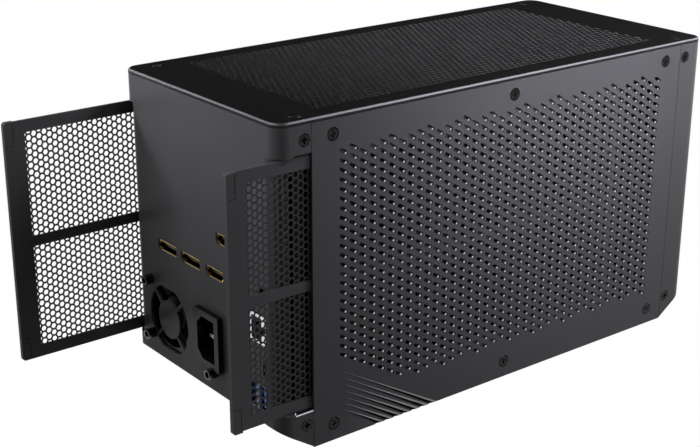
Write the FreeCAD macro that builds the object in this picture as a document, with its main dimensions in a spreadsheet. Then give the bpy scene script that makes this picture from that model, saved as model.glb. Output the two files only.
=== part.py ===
"""External graphics card enclosure: a parametric document of its housing, filters, ports and inner parts.

+X is the side seen to the right of the ports, -Y is the rear face with the ports, +Z is up.
The origin lies on the surface that the feet stand on, under the middle of the whole
with its filters drawn out.
"""

import FreeCAD
import Part
import Sketcher

import math
import os

Vector = FreeCAD.Vector
Rotation = FreeCAD.Rotation
Placement = FreeCAD.Placement

doc = FreeCAD.newDocument("graphics_enclosure")
sheet = doc.addObject("Spreadsheet::Sheet", "Sizes")
sub_parts = []
placed_y = {}


class Size:
    """A number together with the sheet expression that gives it, so each formula is written once."""

    def __init__(self, value, text):
        self.value = float(value)
        self.text = text

    def __add__(self, other):
        other = as_size(other)
        return Size(self.value + other.value, f"({self.text} + {other.text})")

    def __radd__(self, other):
        return as_size(other) + self

    def __sub__(self, other):
        other = as_size(other)
        return Size(self.value - other.value, f"({self.text} - {other.text})")

    def __rsub__(self, other):
        return as_size(other) - self

    def __mul__(self, other):
        other = as_size(other)
        return Size(self.value * other.value, f"({self.text} * {other.text})")

    def __rmul__(self, other):
        return as_size(other) * self

    def __truediv__(self, other):
        other = as_size(other)
        return Size(self.value / other.value, f"({self.text} / {other.text})")

    def __neg__(self):
        return as_size(0) - self

    def root(self):
        return Size(math.sqrt(self.value), f"sqrt({self.text})")


def as_size(number):
    return number if isinstance(number, Size) else Size(number, repr(float(number)))


def size(alias, value, meaning):
    """Write one driving dimension into the sheet and return it."""
    row = size.rows = getattr(size, "rows", 0) + 1
    sheet.set(f"A{row}", meaning)
    sheet.set(f"B{row}", str(value))
    sheet.setAlias(f"B{row}", alias)
    return Size(value, f"Sizes.{alias}")


# Housing
length = size("length", 302, "housing length, rear face to front face")
width = size("width", 141, "housing width over the side panels")
body_height = size("body_height", 172, "housing height without the feet")
foot_height = size("foot_height", 3, "height of the rubber feet")
wall = size("wall", 1.5, "sheet thickness of covers and panels")
corner_radius = size("corner_radius", 7.5, "radius of the four upright corners")
column_width = size("column_width", 19.8, "side return of an end cover, up to the seam")
seam_gap = size("seam_gap", 0.3, "seam between a cover and its neighbours")
chamfer_run = size("chamfer_run", 20.5, "length of the sloping underside at each end")
chamfer_rise = size("chamfer_rise", 13.6, "height of the sloping underside at each end")
top_thick = size("top_thick", 1.8, "top plate thickness")
top_bevel = size("top_bevel", 0.8, "polished bevel round the top plate")
shadow_gap = size("shadow_gap", 0.4, "dark line under the top plate")
pillar_width = size("pillar_width", 7.8, "thickened inner corner of an end cover")
pillar_depth = size("pillar_depth", 7, "length of the thickened inner corner")
pillar_lift = size("pillar_lift", 4.5, "thickened inner corner above the sloping underside")

# Dust filters
filter_end = size("filter_end", 30, "front face to the inner end of a closed filter")
filter_over = size("filter_over", 18, "housing top above a filter")
filter_thick = size("filter_thick", 1.2, "dust filter frame thickness")
filter_low = size("filter_low", 22, "underside of a filter above the housing underside")
filter_clear = size("filter_clear", 0.3, "running clearance beside a filter")
filter_edge_clear = size("filter_edge_clear", 0.5, "running clearance above and below a filter")
filter_bar = size("filter_bar", 6.6, "top and bottom bar of a filter")
filter_mid_bar = size("filter_mid_bar", 5.6, "middle bar of a filter")
filter_tail_bar = size("filter_tail_bar", 6.4, "bar at the inner end of a filter")
grip_setback = size("grip_setback", 11.2, "grip end to the start of the mesh")
grip_width = size("grip_width", 4.6, "width of the grip strip")
grip_thick = size("grip_thick", 2.6, "thickness of the grip strip")
grip_inset = size("grip_inset", 1.7, "grip strip shorter than the frame at each end")
grip_radius = size("grip_radius", 1.5, "rounded corners of the grip strip")
mesh_thick = size("mesh_thick", 0.4, "thickness of the mesh itself")
pocket_depth_y = size("pocket_depth_y", 10.8, "finger pocket length beside the seam")
pocket_clear = size("pocket_clear", 0.5, "grip clearance to the pocket end when closed")
pocket_margin = size("pocket_margin", 1.6, "finger pocket beyond the filter, above and below")
pocket_ramp = size("pocket_ramp", 3.3, "run of the pocket's slanted rear wall")
right_pull = size("right_pull", 37.2, "how far the right filter is drawn out")
left_pull = size("left_pull", 80.5, "how far the left filter is drawn out")

# Side panel pattern
slot_length = size("slot_length", 5.7, "length of one air slot")
slot_width = size("slot_width", 2.0, "width of one air slot")
slot_pitch_y = size("slot_pitch_y", 6.08, "distance between slot columns")
slot_pitch_z = size("slot_pitch_z", 4.85, "distance between slots of one column")
slot_angle = size("slot_angle", 30, "slope of the slots, degrees")
slots_per_run = size("slots_per_run", 26, "slots merged in one long slot")
field_rear = size("field_rear", 39.2, "rear face to the first slot column")
field_front = size("field_front", 38, "front face to the last slot column")
field_low = size("field_low", 21, "lowest slots above the housing underside")
field_high = size("field_high", 18.2, "highest slots under the housing top")
corner_cut = size("corner_cut", 22, "rise of the slanted lower rear corner of the field")
ridge_count = size("ridge_count", 7, "slanted grooves under the field")
ridge_pitch = size("ridge_pitch", 3.5, "upright distance between the grooves")
ridge_depth = size("ridge_depth", 0.9, "depth of a groove at its lower end")
ridge_start = size("ridge_start", 14.6, "upper edge of the lowest groove above the housing underside")

# Top plate pattern
top_slot_width = size("top_slot_width", 3.0, "width of one long slot in the top plate")
top_slot_pitch = size("top_slot_pitch", 8.2, "distance between rows of top slots")
top_slot_rows = size("top_slot_rows", 14, "rows of top slots")
top_field_half = size("top_field_half", 120.3, "middle of the top plate to the ends of its slots")
top_slot_web = size("top_slot_web", 5, "bridge between two slots of one row")

# Fasteners
screw_head_radius = size("screw_head_radius", 3.0, "flush screw head radius")
screw_head_height = size("screw_head_height", 0.8, "flush screw head height")
screw_recess_radius = size("screw_recess_radius", 3.5, "ring sunk round each screw head")
screw_recess_depth = size("screw_recess_depth", 0.8, "depth of that ring")
screw_shank_radius = size("screw_shank_radius", 1.45, "screw shank radius")
screw_hole_clear = size("screw_hole_clear", 0.2, "hole clearance round a shank")
screw_length = size("screw_length", 6, "shank length under the head")
panel_screw_y = size("panel_screw_y", 32.5, "end of housing to the outer panel screws")
panel_screw_high = size("panel_screw_high", 9.8, "upper panel screws under the housing top")
panel_screw_low = size("panel_screw_low", 9.4, "lower panel screws above the underside")
column_screw_y = size("column_screw_y", 15.8, "end of housing to the column screws")
column_screw_low = size("column_screw_low", 13.6, "lower column screws above the underside")
top_screw_x = size("top_screw_x", 8.5, "side of housing to the top plate screws")
top_screw_y = size("top_screw_y", 16.5, "end of housing to the top plate screws")
foot_radius = size("foot_radius", 8, "rubber foot radius")
foot_x = size("foot_x", 17, "side of housing to a foot's centre")
foot_y = size("foot_y", 36, "end of housing to a foot's centre")

# Chassis frame
rail_width = size("rail_width", 8.5, "width of the frame's long rails")
cross_depth = size("cross_depth", 8, "width of the frame's lower cross bars")
cross_height = size("cross_height", 10, "height of the cross bars")
cross_share = size("cross_share", 0.4103, "upper cross bars' share of the room beside the fans")
rest_setback = size("rest_setback", 16, "inner end of the supply to the bar under it")
frame_end = size("frame_end", 10, "end of housing to the frame's end")
post_width = size("post_width", 5.5, "width of the frame's upright posts")
fan_plate_thick = size("fan_plate_thick", 1.5, "plate that carries the two large fans")

# Power supply
supply_width = size("supply_width", 81.5, "power supply width")
supply_height = size("supply_height", 40.5, "power supply height")
supply_depth = size("supply_depth", 150, "power supply depth")
supply_side = size("supply_side", 5.3, "left rails to the power supply")
supply_low = size("supply_low", 21.2, "supply's underside above the housing underside")
supply_hole_low = size("supply_hole_low", 3.3, "third supply screw to the supply's underside")
supply_third_x = size("supply_third_x", 15.6, "third supply screw to the supply's right side")
cap_radius = size("cap_radius", 2.9, "socket screw head radius")
cap_height = size("cap_height", 5.0, "socket screw head height")
cap_socket = size("cap_socket", 1.9, "hexagon socket, centre to corner")
cap_socket_depth = size("cap_socket_depth", 2.3, "hexagon socket depth")
small_fan = size("small_fan", 40, "supply fan frame, square")
small_fan_depth = size("small_fan_depth", 20, "supply fan frame depth")
small_fan_bore = size("small_fan_bore", 19, "supply fan bore radius")
small_hub = size("small_hub", 9.5, "supply fan hub radius")
small_fan_side = size("small_fan_side", 0.2, "supply's left side to its fan")
small_fan_pitch = size("small_fan_pitch", 32, "screw spacing of the supply fan")
grille_aside = size("grille_aside", 1, "fan grille centre to the right of the fan's")
grille_drop = size("grille_drop", 2.75, "fan grille centre below the fan's")
grille_radius = size("grille_radius", 19.4, "fan grille opening radius")
grille_flat = size("grille_flat", 18, "fan grille centre to its flats")
grille_hub = size("grille_hub", 10.8, "plain disc in the grille's middle")
grille_spoke = size("grille_spoke", 1.6, "grille spoke width")

# Mains inlet
inlet_side = size("inlet_side", 18.8, "inlet centre to the supply's right side")
inlet_rise = size("inlet_rise", 1.65, "inlet centre above the supply's middle")
inlet_width = size("inlet_width", 23.7, "inlet bezel width")
inlet_height = size("inlet_height", 31, "inlet bezel height")
inlet_proud = size("inlet_proud", 3, "inlet bezel thickness")
inlet_neck = size("inlet_neck", 1.4, "bezel rim beyond the inlet body")
inlet_body_depth = size("inlet_body_depth", 18, "inlet body depth behind the rear face")
inlet_bevel = size("inlet_bevel", 1.8, "bevelled left corners of the bezel")
socket_width = size("socket_width", 16, "inlet socket width")
socket_height = size("socket_height", 24, "inlet socket height")
socket_bevel = size("socket_bevel", 4.5, "cut corners of the inlet socket")
socket_depth = size("socket_depth", 17, "inlet socket depth")
fit_clear = size("fit_clear", 0.25, "clearance of a part in its opening")
pin_width = size("pin_width", 4, "inlet pin width")
pin_thick = size("pin_thick", 2, "inlet pin thickness")
pin_spread = size("pin_spread", 7, "outer pins from the inlet's middle")
pin_offset = size("pin_offset", 2, "pin rows from the inlet's middle")
pin_setback = size("pin_setback", 5, "pin tips behind the bezel face")

# Graphics card and its sockets
board_thick = size("board_thick", 1.6, "circuit board thickness")
card_top = size("card_top", 77.3, "upper face of the graphics board above the underside")
card_side = size("card_side", 3.5, "left rails to the graphics board")
card_gap = size("card_gap", 0.3, "graphics board to the card slot")
card_length = size("card_length", 240, "graphics board length")
riser_leg = size("riser_leg", 4, "width of the leg under the upper display socket")
card_slot_end = size("card_slot_end", 0.5, "end wall of the card slot")
finger_clear = size("finger_clear", 0.3, "edge fingers to the ends of the card slot")
video_first_x = size("video_first_x", 32.65, "first display socket, left of the middle")
video_pitch = size("video_pitch", 23.1, "distance between the display sockets")
video_wide_x = size("video_wide_x", 13.4, "two-bevel socket, right of the middle")
video_upper_x = size("video_upper_x", 25, "upper display socket, right of the middle")
video_upper_rise = size("video_upper_rise", 20.5, "upper display socket above the lower row")
video_width = size("video_width", 18.0, "display socket width")
video_wide_width = size("video_wide_width", 15.8, "two-bevel socket width")
video_height = size("video_height", 5.8, "display socket height")
video_bevel = size("video_bevel", 1.9, "bevelled corner of a display socket")
video_shell = size("video_shell", 0.5, "socket shell thickness")
video_depth = size("video_depth", 18, "display socket depth")
video_recess = size("video_recess", 0.6, "sockets behind the rear face")
video_back = size("video_back", 1.0, "back wall of a display socket")
tongue_thick = size("tongue_thick", 1.4, "contact tongue thickness")
tongue_inset = size("tongue_inset", 2.0, "contact tongue inside its socket, behind and beside")

# Port board
port_board_length = size("port_board_length", 110, "port board length")
port_board_height = size("port_board_height", 74, "port board height")
port_board_low = size("port_board_low", 21.8, "port board above the underside")
network_z = size("network_z", 64.5, "network socket centre above the underside")
network_width = size("network_width", 13.4, "network socket width")
network_height = size("network_height", 15.4, "network socket height")
network_depth = size("network_depth", 21, "network socket depth")
network_rim = size("network_rim", 1.0, "network socket rim")
network_wall = size("network_wall", 1.6, "network socket wall above and below")
network_latch = size("network_latch", 4.2, "latch groove width of the network socket")
network_latch_step = size("network_latch_step", 2.6, "latch groove depth of the network socket")
typec_z = size("typec_z", 44.6, "small port centre above the underside")
typec_width = size("typec_width", 3.4, "small port width")
typec_height = size("typec_height", 9.2, "small port height")
typec_depth = size("typec_depth", 10, "small port depth")
typec_rim = size("typec_rim", 0.4, "small port shell thickness")
typec_tongue = size("typec_tongue", 0.7, "small port tongue thickness")
typec_tongue_half = size("typec_tongue_half", 3.2, "half height of the small port's tongue")
port_tongue_back = size("port_tongue_back", 1.2, "port tongues behind the mouths of their ports")
port_back = size("port_back", 3, "back wall of the small port and the twin port")
port_tongue_root = size("port_tongue_root", 1.5, "small port's tongue short of the port's back")
network_back = size("network_back", 6, "back wall of the network socket")
usb_z = size("usb_z", 27.7, "twin port centre above the underside")
usb_width = size("usb_width", 14.9, "twin port block width")
usb_height = size("usb_height", 14.4, "twin port block height")
usb_depth = size("usb_depth", 17.5, "twin port block depth")
usb_open_width = size("usb_open_width", 5.4, "twin port opening width")
usb_open_height = size("usb_open_height", 12.6, "twin port opening height")
usb_tongue_thick = size("usb_tongue_thick", 2.0, "twin port tongue thickness")
usb_tongue_gap = size("usb_tongue_gap", 0.7, "twin port tongue to the side of its opening")
usb_tongue_inset = size("usb_tongue_inset", 0.8, "twin port tongue to the ends of its opening")
lock_x = size("lock_x", 14, "lock slot centre to the right side")
lock_z = size("lock_z", 85.6, "lock slot centre above the underside")
lock_width = size("lock_width", 7, "lock slot width")
lock_height = size("lock_height", 3, "lock slot height")

# Cooling
fan_side = size("fan_side", 0.5, "frame rails to a radiator fan")
big_fan_depth = size("big_fan_depth", 25, "radiator fan frame depth")
big_fan_wall = size("big_fan_wall", 3, "radiator fan's bore to its side")
big_hub = size("big_hub", 20, "radiator fan hub radius")
big_fan_hole = size("big_fan_hole", 7.5, "radiator fan's screw holes to its side")
small_blades = size("small_blades", 7, "blades of the supply fan")
big_blades = size("big_blades", 9, "blades of a radiator fan")
struts = size("struts", 3, "struts of a fan frame")
first_strut = size("first_strut", 30, "angle of a fan frame's first strut, degrees")
fan_hole_radius = size("fan_hole_radius", 2.15, "screw hole radius of a fan frame")
blade_gap = size("blade_gap", 1.0, "blade tip clearance in a fan bore")
blade_pitch = size("blade_pitch", 38, "slope of the fan blades, degrees")
blade_thick = size("blade_thick", 1.4, "fan blade thickness")
fan_mount = size("fan_mount", 2.5, "motor mount and strut thickness of a fan frame")
fan_strut = size("fan_strut", 4, "strut width of a fan frame")
fan_face = size("fan_face", 1.0, "fan rotor behind the open face of its frame")
fan_running = size("fan_running", 0.5, "fan rotor to its motor mount")
shaft_radius = size("shaft_radius", 1.5, "fan shaft radius")
shaft_clear = size("shaft_clear", 0.4, "fan shaft clearance in its bearing hole")
radiator_end = size("radiator_end", 14, "end of housing to the radiator")
radiator_share = size("radiator_share", 0.6683, "radiator's share of the room over the pump")
radiator_tank = size("radiator_tank", 17, "radiator end tank length")
core_inset = size("core_inset", 3, "fin core inside the tank outline")
fitting_radius = size("fitting_radius", 5, "hose fitting radius")
fitting_length = size("fitting_length", 8, "hose fitting length")
fitting_x = size("fitting_x", 16, "hose fittings from the middle")
hose_radius = size("hose_radius", 5.5, "coolant hose radius")
hose_bend = size("hose_bend", 16, "largest bend radius of a coolant hose")
hose_straight = size("hose_straight", 0.5, "straight end of a hose above its bend")
pump_radius = size("pump_radius", 31, "pump body radius")
pump_height = size("pump_height", 16, "pump body height")
plate_length = size("plate_length", 90, "cold plate length")
plate_thick = size("plate_thick", 8, "cold plate thickness")
chip_height = size("chip_height", 2, "graphics chip above its board")
chip_half = size("chip_half", 17, "half width of the graphics chip")
pump_y = size("pump_y", 0, "pump centre, forward of the middle")
card_slot_length = size("card_slot_length", 89, "card slot length")
card_slot_height = size("card_slot_height", 7.6, "card slot height")
card_slot_width = size("card_slot_width", 8.4, "card slot width")
finger_reach = size("finger_reach", 5.5, "board fingers in the card slot")
slot_board_clear = size("slot_board_clear", 0.1, "card slot clearance above and below the board")

half_width = width / 2
half_length = length / 2
ground = foot_height
top_under = ground + body_height - top_thick
inner_x = half_width - wall
inner_y = half_length - wall
filter_outer_x = inner_x - filter_clear
filter_inner_x = filter_outer_x - filter_thick
mouth_x = filter_inner_x - filter_clear
pull_stop_y = -half_length + column_width - pocket_depth_y
grip_closed_y = pull_stop_y + pocket_clear
origin_shift = (left_pull - grip_closed_y - half_length) / 2
filter_length = half_length - filter_end - grip_closed_y
filter_height = body_height - filter_low - filter_over
rail_in = inner_x - rail_width
frame_y = half_length - frame_end
supply_x = rail_in - supply_side
supply_middle = supply_low + supply_height / 2
small_fan_x = supply_x - small_fan_side - small_fan / 2
grille_x = small_fan_x - grille_aside
grille_z = supply_middle - grille_drop
inlet_x = supply_width - supply_x - inlet_side
inlet_z = supply_middle + inlet_rise
port_board_x = rail_in
card_left = rail_in - card_side
card_right = port_board_x - board_thick - card_slot_width - card_gap
big_fan = (rail_in - fan_side) * 2
big_fan_bore = big_fan / 2 - big_fan_wall
big_fan_pitch = big_fan - big_fan_hole * 2
fan_row_end = big_fan + wall
fan_top = top_under - fan_plate_thick
radiator_length = length - radiator_end * 2
pump_top = ground + card_top + chip_height + plate_thick + pump_height
radiator_top = fan_top - big_fan_depth
radiator_low = radiator_top - (radiator_top - pump_top) * radiator_share


# Sides of the small round pieces, which are many-sided rods
HEAD_SIDES = 8
SHANK_SIDES = 6
CAP_SIDES = 14
FOOT_SIDES = 16
BORE_SIDES = 32
FITTING_SIDES = 12
HOSE_SIDES = 6

# A long slot of a side panel is left out when it would be shorter than this share of one air slot
SHORTEST_RUN = 0.8


def bind(obj, **properties):
    """Bind properties, written with __ for a dot, to sheet expressions."""
    for name, amount in properties.items():
        obj.setExpression(name.replace("__", "."), as_size(amount).text)


def register(obj, label):
    """Mark a finished object as one sub-part.

    Everything is drawn about the middle of the housing, then moved forward, so that
    the origin lies under the middle of the whole with its filters drawn out.
    """
    bind(obj, Placement__Base__y=origin_shift + placed_y.get(obj.Name, 0))
    obj.Label = label
    sub_parts.append(obj)


def box(name, start, end):
    """A block between two opposite corners."""
    block = doc.addObject("Part::Box", name)
    spans = [as_size(b) - as_size(a) for a, b in zip(start, end)]
    bind(block, Length=spans[0], Width=spans[1], Height=spans[2])
    place(block, start)
    return block


def place(obj, point, rotation=None):
    if rotation is not None:
        obj.Placement = Placement(Vector(), rotation)
    x, y, z = point
    bind(obj, Placement__Base__x=x, Placement__Base__y=y, Placement__Base__z=z)
    placed_y[obj.Name] = y


TURNS = {
    "z": Rotation(),
    "-z": Rotation(Vector(1, 0, 0), 180),
    "y": Rotation(Vector(1, 0, 0), -90),
    "-y": Rotation(Vector(1, 0, 0), 90),
    "x": Rotation(Vector(0, 1, 0), 90),
    "-x": Rotation(Vector(0, 1, 0), -90),
}


def rod(name, start, radius, height, along="z"):
    """A cylinder from its start point along one axis."""
    cylinder = doc.addObject("Part::Cylinder", name)
    bind(cylinder, Radius=radius, Height=height)
    place(cylinder, start, TURNS[along])
    return cylinder


def prism(name, start, radius, height, along="z", sides=6):
    """A many-sided rod from its start point along one axis; its corners lie on the radius."""
    solid = doc.addObject("Part::Prism", name)
    solid.Polygon = sides
    bind(solid, Circumradius=radius, Height=height)
    place(solid, start, TURNS[along])
    return solid


def fuse(name, pieces):
    joined = doc.addObject("Part::MultiFuse", name)
    joined.Shapes = pieces
    joined.Refine = True
    return joined


def cut(name, base, tools):
    """Take one tool, or several joined into one, out of a base."""
    result = doc.addObject("Part::Cut", name)
    result.Base = base
    if len(tools) == 1:
        result.Tool = tools[0]
    else:
        joined = doc.addObject("Part::Compound", f"{name}_tools")
        joined.Links = tools
        result.Tool = joined
    return result


def group(name, pieces):
    together = doc.addObject("Part::Compound", name)
    together.Links = pieces
    return together


def plane_of(body, role):
    return next(item for item in body.Origin.OriginFeatures if item.Role == role)


def sketch_on(body, name, role, lift=None):
    sketch = body.newObject("Sketcher::SketchObject", name)
    sketch.AttachmentSupport = [(plane_of(body, role), "")]
    sketch.MapMode = "FlatFace"
    if lift is not None:
        sketch.setExpression("AttachmentOffset.Base.z", as_size(lift).text)
    return sketch


def draw_outline(sketch, corners):
    """Draw a closed outline whose corners are all bound to sizes."""
    corners = [(as_size(a), as_size(b)) for a, b in corners]
    first = sketch.GeometryCount
    for here, there in zip(corners, corners[1:] + corners[:1]):
        start = Vector(here[0].value, here[1].value, 0)
        end = Vector(there[0].value, there[1].value, 0)
        sketch.addGeometry(Part.LineSegment(start, end))
    for index, (across, up) in enumerate(corners):
        line = first + index
        following = first + (index + 1) % len(corners)
        sketch.addConstraint(Sketcher.Constraint("Coincident", line, 2, following, 1))
        for kind, amount in (("DistanceX", across), ("DistanceY", up)):
            row = sketch.addConstraint(Sketcher.Constraint(kind, -1, 1, line, 1, amount.value))
            sketch.setExpression(f"Constraints[{row}]", amount.text)


def draw_rectangle(sketch, left, low, right, high):
    draw_outline(sketch, [(left, low), (right, low), (right, high), (left, high)])


def pad(body, sketch, thickness, both_ways=False):
    solid = body.newObject("PartDesign::Pad", f"{sketch.Name}_pad")
    solid.Profile = sketch
    solid.Midplane = both_ways
    bind(solid, Length=thickness)
    sketch.Visibility = False
    return solid


def pocket(body, sketch, depth=None, reverse=False, both_ways=False):
    """Cut a sketch out of a body, right through unless a depth is given."""
    doc.recompute()
    before = body.Shape.Volume
    hollow = body.newObject("PartDesign::Pocket", f"{sketch.Name}_pocket")
    hollow.Profile = sketch
    hollow.Reversed = reverse
    hollow.Midplane = both_ways
    if depth is None:
        hollow.Type = "ThroughAll"
    else:
        bind(hollow, Length=depth)
    doc.recompute()
    if hollow.Shape.Volume >= before - 1e-6:
        raise RuntimeError(f"{hollow.Name} cuts nothing")
    return hollow


def round_edges(body, feature, radius, wanted):
    """Fillet the edges of a feature that a test picks out."""
    doc.recompute()
    names = [f"Edge{n + 1}" for n, edge in enumerate(feature.Shape.Edges) if wanted(edge)]
    fillet = body.newObject("PartDesign::Fillet", f"{feature.Name}_round")
    fillet.Base = (feature, names)
    bind(fillet, Radius=radius)
    return fillet


def upright(edge):
    ends = [vertex.Point for vertex in edge.Vertexes]
    return len(ends) == 2 and abs(ends[0].x - ends[1].x) < 1e-6 and abs(ends[0].y - ends[1].y) < 1e-6


def screw(name, head_face, along):
    """A flush screw: a low round head with its shank, from the centre of the head's outer face."""
    reach = screw_head_height + screw_length
    head = prism(f"{name}_head", head_face, screw_head_radius, screw_head_height, along, HEAD_SIDES)
    shank = prism(f"{name}_shank", head_face, screw_shank_radius, reach, along, SHANK_SIDES)
    return fuse(name, [head, shank])


def screw_hole(name, face, along):
    """The sunk ring and through hole that one flush screw needs, from the outer face inwards."""
    ring = prism(f"{name}_ring", face, screw_recess_radius, screw_recess_depth, along, HEAD_SIDES)
    return [ring, screw_bore(f"{name}_bore", face, along)]


def screw_bore(name, face, along):
    """The clearance hole for one shank."""
    reach = screw_head_height + screw_length + screw_hole_clear
    return prism(name, face, screw_shank_radius + screw_hole_clear, reach, along, SHANK_SIDES)


panel_screw_rows = (
    ("high", ground + body_height - panel_screw_high),
    ("low", ground + panel_screw_low),
)
panel_screw_columns = (
    ("rear", -half_length + panel_screw_y),
    ("middle", as_size(0)),
    ("front", half_length - panel_screw_y),
)
column_screw_rows = (
    ("high", ground + body_height - panel_screw_high),
    ("low", ground + column_screw_low),
)


def panel_screw_places(side):
    x = half_width * side
    places = []
    for row, z in panel_screw_rows:
        places += [(f"{row}_{column}", (x, y, z)) for column, y in panel_screw_columns]
    return places


def column_screw_places(side, end):
    x = half_width * side
    y = (half_length - column_screw_y) * end
    return [(row, (x, y, z)) for row, z in column_screw_rows]


def top_screw_places():
    x = half_width - top_screw_x
    y = half_length - top_screw_y
    z = ground + body_height
    sides = (("left", -1), ("right", 1))
    ends = (("rear", -1), ("front", 1))
    return [(f"{a}_{b}", (x * side, y * end, z)) for a, side in sides for b, end in ends]


def inward(side):
    return "-x" if side > 0 else "x"


def make_top_plate():
    body = doc.addObject("PartDesign::Body", "top_plate_body")
    outline = sketch_on(body, "top_outline", "XY_Plane", top_under)
    draw_rectangle(outline, -half_width, -half_length, half_width, half_length)
    plate = pad(body, outline, top_thick)
    rounded = round_edges(body, plate, corner_radius, upright)
    doc.recompute()
    highest = rounded.Shape.BoundBox.ZMax
    names = []
    for number, edge in enumerate(rounded.Shape.Edges):
        if edge.BoundBox.ZMin > highest - 1e-6:
            names.append(f"Edge{number + 1}")
    bevel = body.newObject("PartDesign::Chamfer", "top_bevelled")
    bevel.Base = (rounded, names)
    bind(bevel, Size=top_bevel)
    holes = top_slot_tools()
    for name, face in top_screw_places():
        holes += screw_hole(f"top_hole_{name}", face, "-z")
    register(cut("top_plate_cut", body, holes), "top_plate")


def top_slot_tools():
    """Long slots over the fans, two in each row."""
    rows = int(top_slot_rows.value)
    tools = []
    for row in range(rows):
        x = top_slot_pitch * (row - (rows - 1) / 2)
        for word, near, far in (
            ("rear", -top_field_half, -top_slot_web / 2),
            ("front", top_slot_web / 2, top_field_half),
        ):
            low = (x - top_slot_width / 2, near, top_under - wall)
            high = (x + top_slot_width / 2, far, top_under + top_thick + wall)
            tools.append(box(f"top_slot_{row}_{word}", low, high))
    return tools


def end_cover_blank(end, label):
    """A folded cover: the end face with rounded corners and a return on each side."""
    body = doc.addObject("PartDesign::Body", f"{label}_body")
    outline = sketch_on(body, f"{label}_outline", "XY_Plane", ground)
    seam_y = half_length - column_width
    corners = [
        (-half_width, seam_y),
        (-half_width, half_length),
        (half_width, half_length),
        (half_width, seam_y),
        (inner_x, seam_y),
        (inner_x, inner_y),
        (-inner_x, inner_y),
        (-inner_x, seam_y),
    ]
    draw_outline(outline, [(x, y * end) for x, y in corners])
    shell = pad(body, outline, body_height - top_thick - shadow_gap)

    def outer_corner(edge):
        point = edge.Vertexes[0].Point
        reach = half_length.value - 0.01
        return upright(edge) and abs(point.y) > reach and abs(point.x) > half_width.value - 0.01

    def inner_corner(edge):
        point = edge.Vertexes[0].Point
        return upright(edge) and abs(abs(point.y) - inner_y.value) < 0.01

    outside = round_edges(body, shell, corner_radius, outer_corner)
    round_edges(body, outside, corner_radius - wall, inner_corner)
    notch = (corner_radius - wall) / 2
    pillar_start = ground + chamfer_rise + pillar_lift
    for side, word in ((-1, "left"), (1, "right")):
        pillar = sketch_on(body, f"{label}_pillar_{word}", "XY_Plane", pillar_start)
        foot = [
            (inner_x - pillar_width, inner_y),
            (inner_x - notch, inner_y),
            (inner_x, inner_y - notch),
            (inner_x, inner_y - pillar_depth),
            (inner_x - pillar_width, inner_y - pillar_depth),
        ]
        draw_outline(pillar, [(x * side, y * end) for x, y in foot])
        pad(body, pillar, top_under - shadow_gap - pillar_start)
    slope = sketch_on(body, f"{label}_slope", "YZ_Plane")
    beyond = half_length + wall
    rise_beyond = chamfer_rise + chamfer_rise * wall / chamfer_run
    draw_outline(
        slope,
        [
            (beyond * end, ground - wall),
            ((half_length - chamfer_run) * end, ground - wall),
            ((half_length - chamfer_run) * end, ground),
            (beyond * end, ground + rise_beyond),
        ],
    )
    pocket(body, slope, both_ways=True)
    return body


def cover_screw_holes(label, end):
    holes = []
    for side, word in ((-1, "left"), (1, "right")):
        for row, face in column_screw_places(side, end):
            holes += screw_hole(f"{label}_hole_{word}_{row}", face, inward(side))
    return holes


def make_front_cover():
    blank = end_cover_blank(1, "front_cover")
    register(cut("front_cover_cut", blank, cover_screw_holes("front", 1)), "front_cover")


def grille_cutter():
    """Four arc openings: a flattened disc, less its hub and two crossed spokes."""
    centre = (-grille_x, -half_length - wall, ground + grille_z)
    depth = wall * 3
    disc = rod("grille_disc", centre, grille_radius, depth, "y")
    low = (-grille_x - grille_radius, -half_length - wall, ground + grille_z - grille_flat)
    high = (-grille_x + grille_radius, -half_length + wall * 2, ground + grille_z + grille_flat)
    flats = box("grille_flats", low, high)
    opening = doc.addObject("Part::MultiCommon", "grille_opening")
    opening.Shapes = [disc, flats]
    kept = [rod("grille_hub", centre, grille_hub, depth, "y")]
    reach = grille_radius + wall
    for number, angle in enumerate((45, 135)):
        spoke = doc.addObject("Part::Box", f"grille_spoke_{number}")
        bind(spoke, Length=reach * 2, Width=depth, Height=grille_spoke)
        turned = Rotation(Vector(0, 1, 0), angle)
        spoke.Placement = Placement(Vector(), turned)
        across, rise = math.cos(math.radians(angle)), -math.sin(math.radians(angle))
        lean, stand = math.sin(math.radians(angle)), math.cos(math.radians(angle))
        place(
            spoke,
            (
                centre[0] - reach * across - grille_spoke / 2 * lean,
                centre[1],
                centre[2] - reach * rise - grille_spoke / 2 * stand,
            ),
        )
        kept.append(spoke)
    return cut("grille_cutter", opening, kept)


def socket_outline(width_of, height_of, margin, bevels):
    """Corners of a display socket about its centre; bevels names the cut lower corners."""
    x = width_of / 2 + margin
    z = height_of / 2 + margin
    corners = [(x, z), (-x, z)]
    corners += [(-x, -z + video_bevel), (-x + video_bevel, -z)] if "left" in bevels else [(-x, -z)]
    corners += [(x - video_bevel, -z), (x, -z + video_bevel)] if "right" in bevels else [(x, -z)]
    return corners


video_low_z = ground + card_top + video_height / 2 + video_shell
video_sockets = (
    ("display_socket_1", -video_first_x, video_low_z, video_width, ("left",)),
    ("display_socket_2", -video_first_x + video_pitch, video_low_z, video_width, ("left",)),
    ("wide_video_socket", video_wide_x, video_low_z, video_wide_width, ("left", "right")),
    ("display_socket_3", video_upper_x, video_low_z + video_upper_rise, video_width, ("left",)),
)

network_x = port_board_x - board_thick - network_width / 2
typec_x = port_board_x - board_thick - typec_width / 2
usb_right = port_board_x - board_thick


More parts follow.
